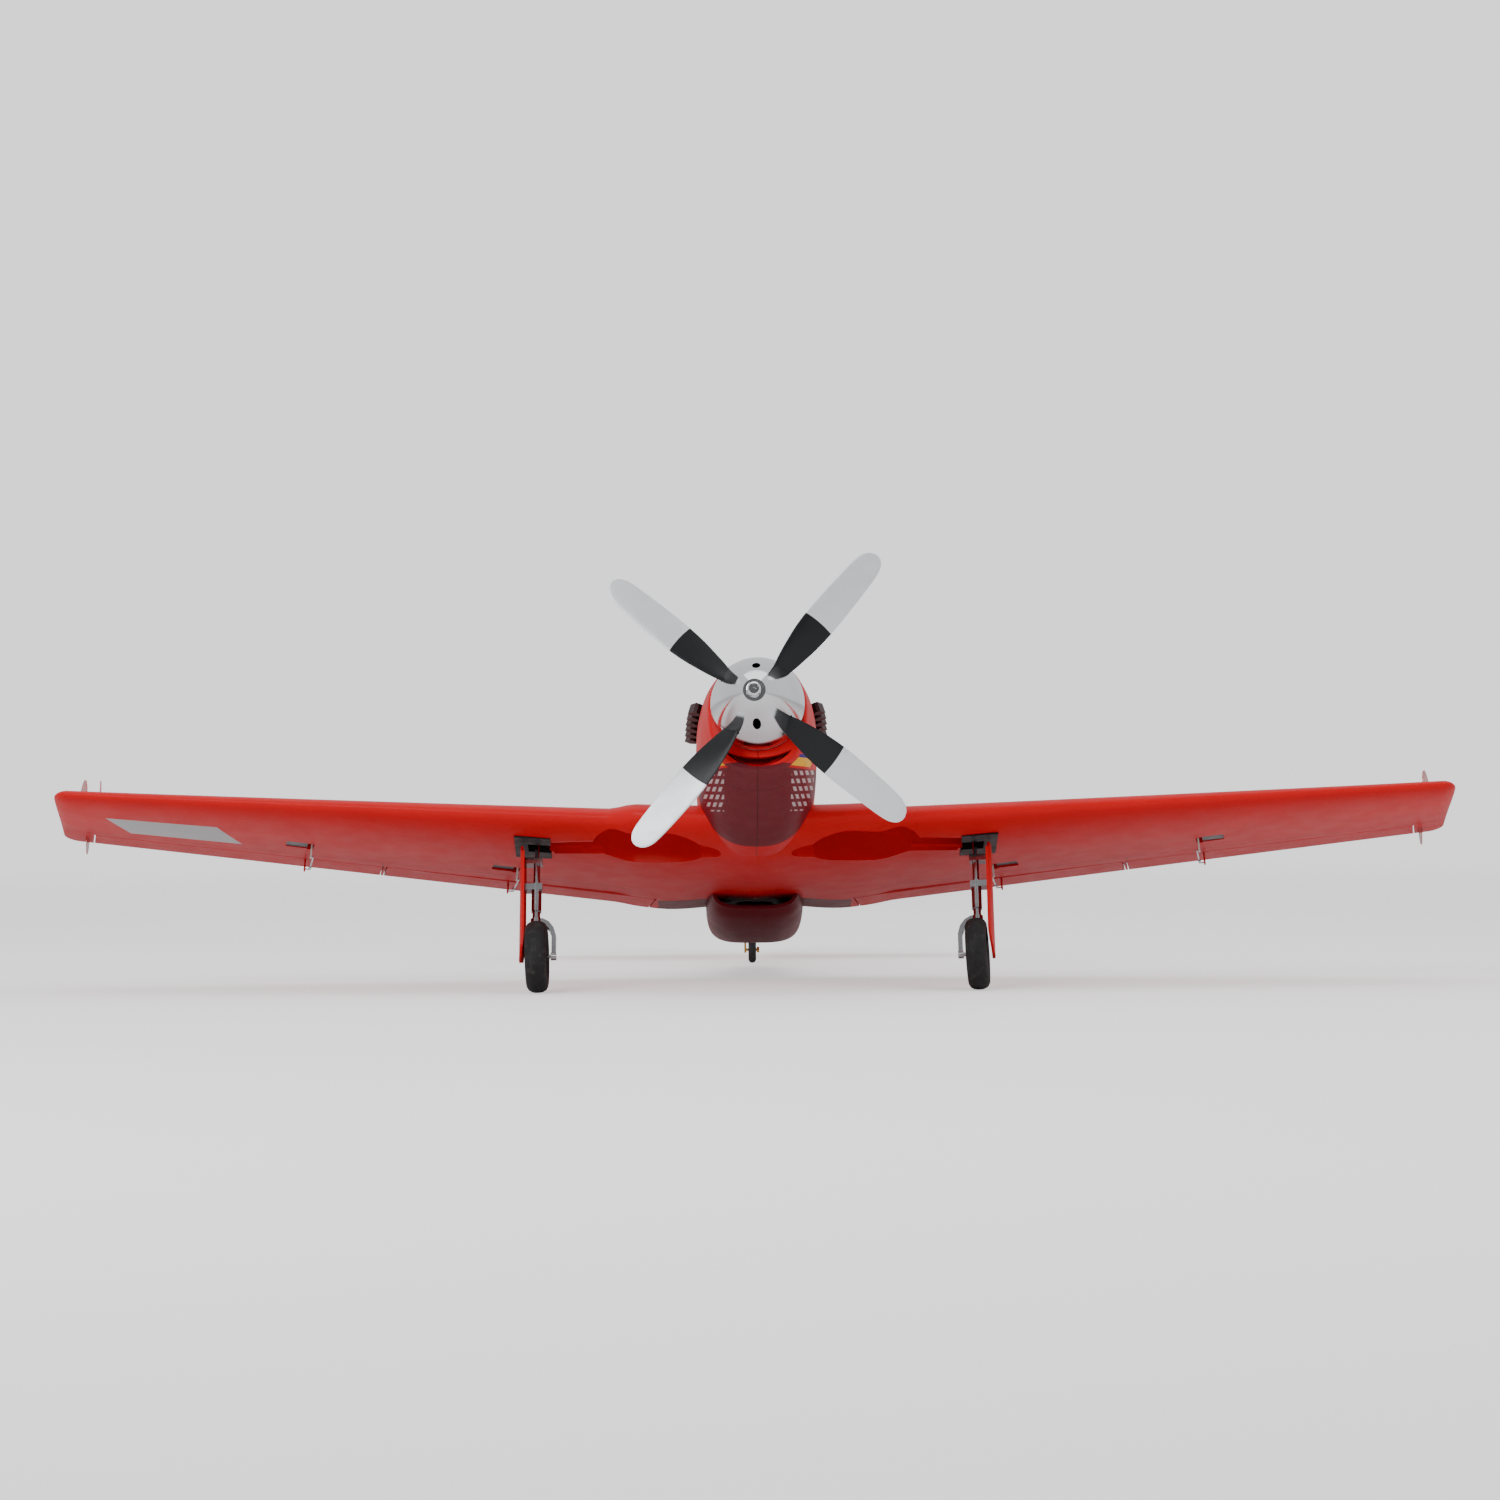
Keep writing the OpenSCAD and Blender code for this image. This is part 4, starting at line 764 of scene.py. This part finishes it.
def wing_paint(name, patch):
    paint = foam_base(name)
    x, s, z = paint.body()
    aside = paint.math("ABSOLUTE", x)
    # Share of the chord behind the leading edge line, near enough for paint lines
    front = paint.math("MULTIPLY_ADD", aside, tan(radians(DIHEDRAL)), WING_FRONT)
    rear = paint.math("MULTIPLY_ADD", aside, (TIP_REAR - WING_REAR) / HALF_SPAN, WING_REAR)
    share = paint.math(
        "DIVIDE", paint.math("SUBTRACT", s, front), paint.math("SUBTRACT", rear, front)
    )
    # Painted shade: the red turns darker towards the trailing edge and outboard
    aft_shade = paint.all_of(paint.ramp(share, 0.3, 1.0), paint.ramp(aside, 60.0, 200.0))
    colour = paint.mix(aft_shade, RED, SHADED_RED)
    # Height above the section's middle line, which drops aft of the leading edge
    slope = paint.ramp(aside, 0.0, PANEL_START, tan(radians(CENTRE_INCIDENCE)), tan(radians(INCIDENCE)))
    sheet = paint.math("MULTIPLY_ADD", aside, tan(radians(DIHEDRAL)), WING_DROP)
    middle = paint.math("SUBTRACT", sheet, paint.math("MULTIPLY", paint.math("SUBTRACT", s, front), slope))
    below = paint.ramp(paint.math("SUBTRACT", z, middle), -0.4, 0.4, 1.0, 0.0)
    fillet = paint.all_of(paint.ramp(aside, 103.4, 103.8, 1.0, 0.0), paint.ramp(s, 497.0, 498.0))
    colour = paint.mix(paint.all_of(fillet, below), colour, MAROON)
    if patch:
        # Plain slanted silver flash under the right wing
        slant = paint.math("MULTIPLY_ADD", share, 60.0, aside)
        flash = paint.all_of(paint.band(share, 0.3, 0.62, 0.004), paint.band(slant, 575.0, 690.0), below)
        colour = paint.mix(flash, colour, SILVER)
    panel_line = paint.all_of(paint.band(share, 0.716, 0.72, 0.001), below, paint.ramp(aside, 120.0, 121.0))
    rib_line = paint.all_of(paint.band(aside, 393.0, 393.8, 0.25), paint.ramp(share, 0.716, 0.72))
    return foam_finish(paint, colour, paint.any_of(panel_line, rib_line))


def plain_foam(name, colour):
    return foam_finish(foam_base(name), colour)


def metal(name, colour, roughness, brushed=0.0):
    """Polished or brushed metal with fine scratches."""
    paint = Paint(name, Metallic=1.0)
    scratches = paint.noise(420.0, 4.0, paint.mapped((1, 1, 14)))
    smudge = paint.noise(38.0, 2.0)
    spread = paint.ramp(smudge, 0.35, 0.7, roughness, roughness + 0.05 + brushed)
    return paint.finish(paint.varied(colour, 0.05, 30.0), spread, scratches, 0.00002 + 0.00006 * brushed)


def plastic(name, colour, roughness=0.42, grain=900.0, depth=0.00004, **values):
    """Moulded plastic with a fine spark-eroded grain."""
    paint = Paint(name, **values)
    spread = paint.patches(80.0, 3.0, roughness - 0.07, roughness + 0.07)
    return paint.finish(paint.varied(colour, 0.1, 40.0), spread, paint.noise(grain, 3.0), depth)


def rubber(name, colour):
    paint = Paint(name, Specular_IOR_Level=0.35)
    dust = paint.ramp(paint.noise(150.0, 5.0), 0.5, 0.8, 0.0, 0.3)
    worn = paint.mix(dust, colour, linear(92, 88, 84))
    spread = paint.patches(70.0, 2.0, 0.6, 0.8)
    return paint.finish(worn, spread, paint.noise(1400.0, 4.0), 0.0001)


def carbon():
    paint = Paint("carbon_weave", Coat_Weight=0.6, Coat_Roughness=0.1)
    x, s, z = paint.parts(paint.coordinates)
    first = paint.math("SINE", paint.math("MULTIPLY", paint.math("ADD", x, s), 2600.0))
    second = paint.math("SINE", paint.math("MULTIPLY", paint.math("SUBTRACT", x, s), 2600.0))
    weave = paint.ramp(paint.math("MULTIPLY", first, second), -0.2, 0.2)
    return paint.finish(paint.mix(weave, linear(18, 18, 20), linear(52, 53, 56)), 0.35, weave, 0.00005)


def plywood():
    paint = Paint("plywood_grain")
    grain = paint.noise(70.0, 6.0, paint.mapped((9, 1, 9)))
    colour = paint.mix(paint.ramp(grain, 0.3, 0.7), linear(196, 156, 104), linear(150, 108, 66))
    return paint.finish(colour, 0.68, grain, 0.00015)


def blade_paint():
    """Black roots and silver outer halves, split at a radius from the shaft."""
    paint = Paint("blade_lacquer", Specular_IOR_Level=0.22, Coat_Weight=0.05, Coat_Roughness=0.2)
    centre = THRUST @ Vector((0, 0, 0))
    axis = (THRUST.to_3x3() @ Vector((0, 0, 1))).normalized()
    from_hub = paint.vector("SUBTRACT", paint.coordinates, centre)[0]
    across = paint.vector("CROSS_PRODUCT", from_hub, axis)[0]
    radius = paint.vector("LENGTH", across)["Value"]
    outer = paint.ramp(radius, 0.0968, 0.0972)
    flake = paint.patches(1500.0, 2.0, 0.0, 1.0)
    silver = paint.mix(flake, (0.72, 0.75, 0.77, 1.0), (0.78, 0.81, 0.83, 1.0))
    colour = paint.mix(outer, (0.010, 0.011, 0.013, 1.0), silver)
    paint.join(paint.math("MULTIPLY", outer, 0.35), paint.shader.inputs["Metallic"])
    roughness = paint.patches(90.0, 3.0, 0.34, 0.4)
    return paint.finish(colour, roughness, paint.noise(300.0, 2.0), 0.00002)


def clear_plastic(name, colour, roughness, alpha):
    """Thin clear sheet with faint polishing haze."""
    paint = Paint(name, IOR=1.49, Coat_Weight=1.0, Coat_Roughness=0.02)
    haze = paint.patches(120.0, 3.0, roughness, roughness + 0.06)
    veil = paint.ramp(paint.noise(55.0, 2.0), 0.35, 0.7, alpha, alpha + 0.06)
    paint.join(veil, paint.shader.inputs["Alpha"])
    return paint.finish(colour, haze, paint.noise(300.0, 1.0), 0.00002)


MATERIALS = {
    "red_foam": plain_foam("red_foam_paint", RED),
    "maroon_foam": plain_foam("maroon_foam_paint", MAROON),
    "chrome": metal("bright_chrome", (0.74, 0.75, 0.77, 1.0), 0.05),
    "blade": blade_paint(),
    "black_plastic": plastic("black_plastic_grain", linear(17, 18, 20), Specular_IOR_Level=0.25),
    "canopy_clear": clear_plastic("canopy_sheet", linear(120, 135, 150), 0.06, 0.26),
    "fence_clear": clear_plastic("fence_sheet", linear(190, 26, 30), 0.14, 0.72),
    "cockpit": plastic("cockpit_vinyl", linear(42, 43, 46), 0.6, 500.0, 0.0001),
    "carbon": carbon(),
    "screw_steel": metal("screw_steel_turned", linear(120, 122, 126), 0.26, 0.1),
    "alloy": metal("alloy_brushed", (0.36, 0.37, 0.385, 1.0), 0.2, 0.12),
    "copper": metal("copper_winding", linear(196, 116, 66), 0.3, 0.1),
    "plywood": plywood(),
    "battery_wrap": plastic("battery_shrink_wrap", linear(26, 52, 110), 0.3, 240.0, 0.0002),
    "grey_plastic": plastic("grey_plastic_case", linear(58, 60, 64)),
    "white_plastic": plastic("white_nylon", linear(216, 214, 206), 0.38),
    "tyre": rubber("tyre_rubber", linear(28, 28, 30)),
    "steel_wire": metal("steel_wire_drawn", linear(184, 187, 190), 0.16, 0.08),
    "brass": metal("brass_turned", linear(206, 164, 84), 0.2, 0.08),
    "small_wheel": rubber("small_wheel_rubber", linear(34, 34, 36)),
}
FUSELAGE = fuselage_paint()
WING = {"left": wing_paint("left_wing_foam", False), "right": wing_paint("right_wing_foam", True)}

for cad_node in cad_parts.values():
    for holder in cad_node.material_slots:
        holder.material = MATERIALS[holder.material.name.split(".")[0]]
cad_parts["exhaust_stacks"].material_slots[0].material = plain_foam("exhaust_paint", SOOT)
# Painted shade: the legs' chrome is darker than the spinner's bright chrome, to dim their reflections
DARKENED_LEG_CHROME = metal("leg_chrome_with_painted_shade", (0.38, 0.38, 0.395, 1.0), 0.13, 0.05)
for leg_part in ("strut_left", "strut_right", "oleo_fork_left", "oleo_fork_right"):
    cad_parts[leg_part].material_slots[0].material = DARKENED_LEG_CHROME


# -------- fuselage pieces
def fin_half(z, s):
    front, rear, thick = (curve(FIN_ROWS, z, column) for column in (1, 2, 3))
    if s <= RUDDER_HINGE_S:
        back = (RUDDER_HINGE_S - s) / max(1, RUDDER_HINGE_S - front)
        return thick * sqrt(max(0, 1 - back**2.6))
    return mix(thick, 0.7, (s - RUDDER_HINGE_S) / max(1, rear - RUDDER_HINGE_S))


def fin_section(z):
    front = curve(FIN_ROWS, z, 1)
    rear = curve(FIN_ROWS, z, 2)
    stations = [mix(front, RUDDER_HINGE_S, 1 - cos(pi / 2 * i / 26)) for i in range(27)]
    stations += steps(RUDDER_HINGE_S, rear, 6)[1:]
    left = [(-max(0.05, fin_half(z, s)), s, z) for s in stations]
    return left + [(-x, s, z) for x, s, z in reversed(left)]


def fin_form():
    heights = steps(-14, 172, 50) + [175, 178, 180, 182, 183.5, 184.8, 185.8, 186.5]
    return loft("fin_form", [fin_section(z) for z in heights])


def tail_section(x, grow):
    tip = tip_shape(abs(x), TAIL_HALF_SPAN, TAIL_TIP_ROUND)
    start = mix(*TAIL_FRONT, abs(x) / TAIL_HALF_SPAN) + 34 * tip - grow
    chord = mix(*TAIL_REAR, abs(x) / TAIL_HALF_SPAN) - 12 * tip + grow - start
    thick = TAIL_THICKNESS * (1 - 0.6 * tip)
    ring = []
    for i in range(48):
        u = (1 - cos(2 * pi * i / 48)) / 2
        side = 1 if i <= 24 else -1
        ring.append((x, start + chord * u, TAIL_HEIGHT + side * (chord * thick * half_thick(u) + grow)))
    return ring


def tail_form(grow=0.0):
    half = steps(0, TAIL_HALF_SPAN - TAIL_TIP_ROUND, 24)
    half += tip_stations(TAIL_HALF_SPAN, TAIL_TIP_ROUND)
    stations = [-x for x in reversed(half[1:])] + half
    return loft("tail_form", [tail_section(x, grow) for x in stations])


def rudder_zone(grow):
    return [
        block((-20, RUDDER_HINGE_S, -40), (40, 120, 600)),
        cone(-40, 560, 6.4 + grow, 6.4 + grow, PARK @ shift(0, RUDDER_HINGE_S, 0), 64),
    ]


def sphere_points(x, s, z, radius):
    points = []
    for j in range(9):
        a = pi * j / 8
        for px, py in circle(radius * sin(a) + 1e-4, 20):
            points.append((x + px, s + py, z + radius * cos(a)))
    return points


def dorsal_fillet():
    return hull(
        sphere_points(0, 800, 40, 3) + sphere_points(0, 965, 66, 4) + sphere_points(0, 985, 34, 5)
    )


def build_fuselage():
    piece = body_form(22.2, 1085, 7, name="fuselage_shell")
    add(piece, fin_form(), dorsal_fillet())
    cut(
        piece,
        body_form(21, 1040, 20, SHELL),
        # Hatch opening
        block((-80, 66, 26), (160, 215, 80)),
        *wing_saddle(),
        tail_form(FIT),
        *rudder_zone(COVE_GAP),
        # Elevator's middle, cockpit, way to the scoop and tail gear bracket
        block((-12.5, TAIL_HINGE_S - 7, TAIL_HEIGHT - 7), (25, 60, 14)),
        block((-27, 312, 40), (54, 125, 40)),
        block((-34, 480, -130), (68, 70, 60)),
        block((-7 - FIT, 866 - FIT, -90), (14 + 2 * FIT, 24 + 2 * FIT, 48 + FIT)),
    )
    for place in (ELEVATOR_PLACE @ at_shaft(ELEVATOR_LINK), RUDDER_PLACE @ at_shaft(RUDDER_LINK)):
        cut(piece, servo_room(place, 12.6), cone(-8, 2, 4, 4, place @ TURN_X, 32))
    cut(piece, block((-5, -12, -40), (5.5, 24, 40), RUDDER_PLACE @ at_shaft(RUDDER_LINK)))
    dress(piece, "airframe", "red_foam", ("fuselage_left", "fuselage_right"), FUSELAGE)


def build_nose_ring():
    piece = loft("nose_lip", [body_ring(s, inset) for s, inset in NOSE_LIP])
    chin = cut(chin_arc(CHIN_LOWER), chin_arc(CHIN_UPPER))
    cut(
        piece,
        loft("inner", [body_ring(11, 4), body_ring(23, 4)]),
        cone(-20, 40, BORE_RADIUS, BORE_RADIUS, BORE, 96),
        chin,
    )
    dress(piece, "airframe", "red_foam", ("nose_ring",), FUSELAGE)
    build_chin_duct()


def chin_arc(arc):
    radius, height = arc
    return cone(0, 60, radius, radius, PARK @ shift(0, -30, height) @ TURN_S, 192, "chin")


def build_chin_duct():
    """Curved scuttle behind the chin intake, which turns the cooling air up to the motor."""
    rings = []
    for s, low, high, half in CHIN_DUCT_ROWS:
        ring = []
        for i in range(41):
            x = mix(-half, half, i / 40)
            sag = (x / half) ** 2
            ring.append((x, s, mix(low, high, sag)))
        rings.append(ring + [(x, s + 1.2, z + 1.2) for x, s, z in reversed(ring)])
    duct = loft("chin_scuttle", rings)
    cut(duct, cone(-20, 60, BORE_RADIUS, BORE_RADIUS, BORE, 96))
    dress(duct, "airframe", "red_foam")


def build_hatch():
    piece = body_form(40, 300, 5, name="hatch_shell")
    cut(piece, body_form(30, 310, 10, SHELL))
    keep(piece, block((-80, 66.4, 26.4), (160, 214.2, 80)))
    for x in (14, -24):
        add(piece, block((x, 74, 40), (10, 6, 12)))
    dress(piece, "hatch", "red_foam", ("hatch_deck",), FUSELAGE)


# -------- canopy and scoop
def canopy_ring(s, inset, count=48):
    half = curve(CANOPY_ROWS, s, 2) - inset
    tall = curve(CANOPY_ROWS, s, 1) - inset - 47
    ring = []
    for i in range(count + 1):
        a = pi / 2 - pi * i / count
        ring.append((half * sign(sin(a)) * abs(sin(a)) ** 0.8, s, 47 + tall * max(0, cos(a)) ** 0.85))
    return ring + [(-half, s, 20), (half, s, 20)]


def canopy_form(start, end, inset, count=60):
    return loft("canopy_form", [canopy_ring(s, inset) for s in steps(start, end, count)])


def window_zones():
    return [block((-60, 300, 58), (120, 37, 60)), block((-60, 346, 58), (120, 200, 60))]


def build_canopy():
    glass = canopy_form(285, 578, 1.2)
    glass.name = "canopy_windows"
    cut(glass, canopy_form(283, 580, 2.2), body_form(260, 620, 10, -0.2))
    keep(glass, add(*window_zones()))
    dress(glass, "airframe", "canopy_clear", ("canopy_glass",))
    rails = canopy_form(282, 584, 0)
    rails.name = "canopy_rails"
    cut(rails, canopy_form(281, 570, 2.4), body_form(260, 620, 10, -0.15))
    cut(rails, *window_zones())
    dress(rails, "airframe", "red_foam", ("canopy_frame",))


def scoop_ring(s, inset, count=72):
    bottom = curve(SCOOP_ROWS, s, 1) + inset
    half = curve(SCOOP_ROWS, s, 2) - inset
    ring = []
    for i in range(count):
        x, z = super_point(-2 * pi * i / count, half, -70, -80, bottom, 2, 3.6)
        ring.append((x, s, z))
    return ring


def build_scoop():
    piece = loft("radiator_scoop", [scoop_ring(s, 0) for s in steps(468, 790, 60)])
    keep(piece, block((-80, 460, -160), (160, 360, 88)))
    cut(
        piece,
        loft("duct", [scoop_ring(s, 3) for s in steps(460, 700, 30)]),
        block((-28, 690, -106), (56, 120, 20)),
        body_form(440, 860, 10, -FIT),
        *wing_saddle(),
    )
    dress(piece, "airframe", "maroon_foam", ("belly_scoop",))


# -------- wing and its surfaces
def build_wing(side):
    place = SIDES[side]
    piece = wing_form(place, name=f"wing_panel_{side}")
    cut(piece, *gear_well(side))
    for hinge in (FLAP, AILERON):
        cut(piece, hinge.behind(side, 1.2), hinge.roll(side, COVE_GAP, 1.2))
    for hinge, key in ((FLAP, "flap"), (AILERON, "aileron")):
        shaft = hinge.place(side, LINK_PLACE[key]) @ at_shaft(WING_LINK)
        servo_bay = block((1.7, -17.3, -40), (22.6, 23.6, 46.3), shaft)
        arm_slot = block((-4.5, -16, -40), (6.5, 26, 44), shaft)
        cut(piece, servo_bay, arm_slot)
    spar = place @ shift(-10, 366, -62) @ TURN_X
    bolt = place @ shift(30, 520, 0)
    cut(
        piece,
        cone(0, 290.5, 6.3, 6.3, spar, 48),
        cone(-160, 0, 2.8, 2.8, bolt, 48),
        cone(-160, wing_under(30, 520) + 4, 5.6, 5.6, bolt, 48),
    )
    dress(piece, "airframe", "red_foam", (f"wing_{side}",), WING[side])


def build_wing_surface(side, key, hinge):
    piece = wing_form(SIDES[side], name=f"{key}_skin_{side}")
    keep(piece, hinge.behind(side))
    add(piece, hinge.roll(side))
    body = f"{key}_{side}"
    distance = LINK_PLACE[key]
    depths = [hinge.foot(distance, aft) for aft in HORN_FOOT]
    build_horn(f"{key}_horn_{side}", body, hinge.place(side, distance), depths)
    dress(piece, body, "red_foam", (body,), WING[side])


# -------- tail
def build_stabilizer():
    piece = tail_form()
    piece.name = "tailplane"
    start = ELEVATOR_START - COVE_GAP
    width = ELEVATOR_SPAN + 2 * COVE_GAP
    radius = 5 + COVE_GAP
    for side in SIDES.values():
        hinge_line = side @ shift(start, TAIL_HINGE_S, TAIL_HEIGHT) @ TURN_X
        cut(
            piece,
            block((start, TAIL_HINGE_S, TAIL_HEIGHT - 30), (width, 120, 60), side),
            cone(0, width, radius, radius, hinge_line, 64),
        )
    cut(piece, block((-14, TAIL_HINGE_S - 6, TAIL_HEIGHT - 30), (28, 120, 60)))
    dress(piece, "airframe", "red_foam", ("stabilizer",))


def tail_foot(aft):
    """Depth of the tailplane's underside at the horn, aft of the hinge line."""
    start = mix(*TAIL_FRONT, ELEVATOR_HORN_X / TAIL_HALF_SPAN)
    chord = mix(*TAIL_REAR, ELEVATOR_HORN_X / TAIL_HALF_SPAN) - start
    return TAIL_THICKNESS * chord * half_thick((TAIL_HINGE_S + aft - start) / chord) + 0.1


def build_elevator():
    piece = tail_form()
    piece.name = "elevator_skin"
    keep(piece, block((-300, TAIL_HINGE_S, 0), (600, 120, 80)))
    spans = []
    for side in SIDES.values():
        hinge_line = side @ shift(ELEVATOR_START, TAIL_HINGE_S, TAIL_HEIGHT) @ TURN_X
        add(piece, cone(0, ELEVATOR_SPAN, 5.2, 3.6, hinge_line, 64))
        corner = (ELEVATOR_START, TAIL_HINGE_S - 20, TAIL_HEIGHT - 30)
        spans.append(block(corner, (ELEVATOR_SPAN, 160, 60), side))
    keep(piece, add(*spans))
    build_horn("elevator_horn", "elevator", ELEVATOR_PLACE, [tail_foot(aft) for aft in HORN_FOOT])
    dress(piece, "elevator", "red_foam", ("elevator",))


def build_rudder():
    piece = fin_form()
    piece.name = "rudder_skin"
    keep(piece, add(*rudder_zone(0)))
    depths = [fin_half(8, RUDDER_HINGE_S + aft) + 0.1 for aft in HORN_FOOT]
    build_horn("rudder_horn", "rudder", RUDDER_PLACE, depths)
    dress(piece, "rudder", "red_foam", ("rudder",))


# -------- propeller
def spinner_r(z, thick):
    return (SPINNER_RADIUS - thick) * (1 - clamp01(z / (SPINNER_LENGTH - thick)) ** 1.15) ** 0.55


def blade_place(k):
    return THRUST @ turn(PROP_REST + 90 * k, "Z")


def build_spinner():
    top, inner_top, hole = 72, 68, 3.2
    rise = [top * (1 - cos(pi / 2 * i / 60)) for i in range(1, 61)]
    outside = [(SPINNER_RADIUS, 0.2)] + [(spinner_r(z, 0), z) for z in rise]
    inner_rise = [z * inner_top / top for z in [0.2, *rise[3:]]]
    inside = [(spinner_r(z, SPINNER_WALL), max(z, 0.2)) for z in inner_rise]
    profile = outside + [(hole, top), (hole, inner_top)] + inside[::-1]
    piece = lathe(profile, THRUST, 192, "spinner_shell")
    for k in range(BLADE_COUNT):
        slot = [blade_ring(r, grow=1.2) for r in steps(19, 55, 24)]
        cut(piece, loft("slot", slot, blade_place(k)))
    for side in (-1, 1):
        cut(piece, cone(20, 80, 4, 4, THRUST @ shift(1, side * 28.5, 0), 48))
    dress(piece, "propeller", "chrome", ("spinner",))


def blade_ring(r, count=40, grow=0.0):
    chord = curve(BLADE_ROWS, r, 1)
    thick = chord * curve(BLADE_ROWS, r, 2) + 2 * grow
    chord += 2 * grow
    pitch = atan(PROP_PITCH / (2 * pi * max(r, 30)))
    ring = []
    for i in range(count):
        a = -2 * pi * i / count
        along = chord * cos(a) / 2 + 0.06 * chord
        across = thick * sin(a) * (0.62 + 0.38 * cos(a)) / 2
        flat = along * cos(pitch) - across * sin(pitch)
        forward = BLADE_HEIGHT + along * sin(pitch) + across * cos(pitch)
        ring.append((r, flat, forward))
    return ring


def build_blades():
    radii = steps(22.5, 176, 64) + [177.5, 179, 180, 181, 181.8, 182.4, 182.9, 183.3, 183.5]
    for k in range(BLADE_COUNT):
        place = blade_place(k)
        blade = loft(f"blade_{k + 1}", [blade_ring(r) for r in radii], place)
        add(blade, cone(19, 23.5, 4.2, 4.2, place @ shift(0, 0, BLADE_HEIGHT) @ TURN_X, 48))
        add(blade, block((9.1, -6, 14), (10.8, 12, 12), place))
        dress(blade, "propeller", "blade")
    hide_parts("prop_blades")


build_fuselage()
build_nose_ring()
build_hatch()
build_canopy()
build_scoop()
build_stabilizer()
build_elevator()
build_rudder()
build_spinner()
build_blades()
for wing_side in SIDES:
    build_wing(wing_side)
    build_wing_surface(wing_side, "flap", FLAP)
    build_wing_surface(wing_side, "aileron", AILERON)


# -------- stage, light and camera
FLOOR_SIZE = 60
FLOOR_GLOW = 0.42
HAZE_START = 1.6
HAZE_END = 5.5
# Name, place, aim, size and power of each softbox
SOFTBOXES = (
    ("key", (-1.6, -3.0, 1.9), (0, 0, 0.2), (2.2, 1.6), 76),
    ("fill", (2.4, -2.0, 1.8), (0, 0, 0.2), (2.0, 2.0), 28),
    ("top", (0, 0.6, 3.2), (0, 0, 0.1), (3.2, 2.4), 26),
)
# How the world's light rises with the direction's y: from, to, least and most
WORLD_LIGHT = (-0.95, -0.1, 0.14, 0.85)
CAMERA_PLACE = (-0.044, -5.053, 0.245)
CAMERA_HEADING = -0.46
CAMERA_ROLL = 0.41
CAMERA_LENS = 111.8
SENSOR_WIDTH = 36


def show_backdrop(tree, kind, share, shader, output):
    """Shows the backdrop's tone in place of a shader, by a share from 0 to 1."""
    tone = tree.nodes.new(kind)
    tone.inputs["Color"].default_value = BACKDROP
    blend = tree.nodes.new("ShaderNodeMixShader")
    for source, socket in zip((share, shader.outputs[0], tone.outputs[0]), blend.inputs):
        tree.links.new(source, socket)
    tree.links.new(blend.outputs[0], tree.nodes[output].inputs["Surface"])


def build_floor():
    """Pale paper that runs into the backdrop's own tone away from the airplane."""
    corner = (-FLOOR_SIZE / 2, -FLOOR_SIZE / 2, -0.02)
    floor = block(corner, (FLOOR_SIZE, FLOOR_SIZE, 0.02), Matrix.Identity(4), "floor")
    paint = Paint("floor_paper", Specular_IOR_Level=0.1)
    seen = paint.nodes.new("ShaderNodeLightPath").outputs["Is Camera Ray"]
    x, y, _ = paint.parts(paint.coordinates)
    square = paint.math("ADD", paint.math("POWER", x, 2.0), paint.math("POWER", y, 2.0))
    far = paint.ramp(paint.math("SQRT", square), HAZE_START, HAZE_END)
    paint.shader.inputs["Emission Color"].default_value = BACKDROP
    paint.join(paint.math("MULTIPLY", seen, FLOOR_GLOW), paint.shader.inputs["Emission Strength"])
    tone = paint.mix(paint.noise(0.8, 3.0), linear(224, 221, 221), linear(232, 230, 230))
    floor.data.materials.append(paint.finish(tone, 0.85, paint.noise(90.0, 3.0), 0.0004))
    haze = paint.math("MULTIPLY", far, seen)
    show_backdrop(paint.material.node_tree, "ShaderNodeEmission", haze, paint.shader, "Material Output")


def add_light(name, place, aim, size, power):
    data = bpy.data.lights.new(name, "AREA")
    data.shape = "RECTANGLE"
    data.size, data.size_y = size
    data.energy = power
    light = bpy.data.objects.new(name, data)
    light.location = place
    light.rotation_mode = "QUATERNION"
    light.rotation_quaternion = (Vector(aim) - Vector(place)).to_track_quat("-Z", "Y")
    bpy.context.scene.collection.objects.link(light)


def build_world():
    """Pale backdrop, and soft light that is dimmer from the front, where the camera stands."""
    world = bpy.data.worlds.new("studio")
    bpy.context.scene.world = world
    world.use_nodes = True
    nodes = world.node_tree.nodes
    links = world.node_tree.links
    direction = nodes.new("ShaderNodeTexCoord").outputs["Generated"]
    split = nodes.new("ShaderNodeSeparateXYZ")
    links.new(direction, split.inputs[0])
    ahead = nodes.new("ShaderNodeMapRange")
    ahead.interpolation_type = "SMOOTHSTEP"
    links.new(split.outputs["Y"], ahead.inputs["Value"])
    for value, socket in zip(WORLD_LIGHT, list(ahead.inputs)[1:5]):
        socket.default_value = value
    light = nodes["Background"]
    light.inputs["Color"].default_value = (0.98, 0.985, 1.0, 1.0)
    links.new(ahead.outputs[0], light.inputs["Strength"])
    seen = nodes.new("ShaderNodeLightPath").outputs["Is Camera Ray"]
    show_backdrop(world.node_tree, "ShaderNodeBackground", seen, light, "World Output")


def build_camera():
    data = bpy.data.cameras.new("camera")
    data.lens = CAMERA_LENS
    data.sensor_width = SENSOR_WIDTH
    camera = bpy.data.objects.new("camera", data)
    camera.location = CAMERA_PLACE
    # Aimed level, a little to the right, and leaning a little, as the photographer held it
    camera.rotation_mode = "QUATERNION"
    heading = Matrix.Rotation(radians(CAMERA_HEADING), 3, "Z")
    roll = Matrix.Rotation(radians(CAMERA_ROLL), 3, "Y")
    camera.rotation_quaternion = (heading @ roll @ Matrix.Rotation(radians(90), 3, "X")).to_quaternion()
    bpy.context.scene.collection.objects.link(camera)
    bpy.context.scene.camera = camera


build_floor()
build_world()
for softbox in SOFTBOXES:
    add_light(*softbox)
build_camera()
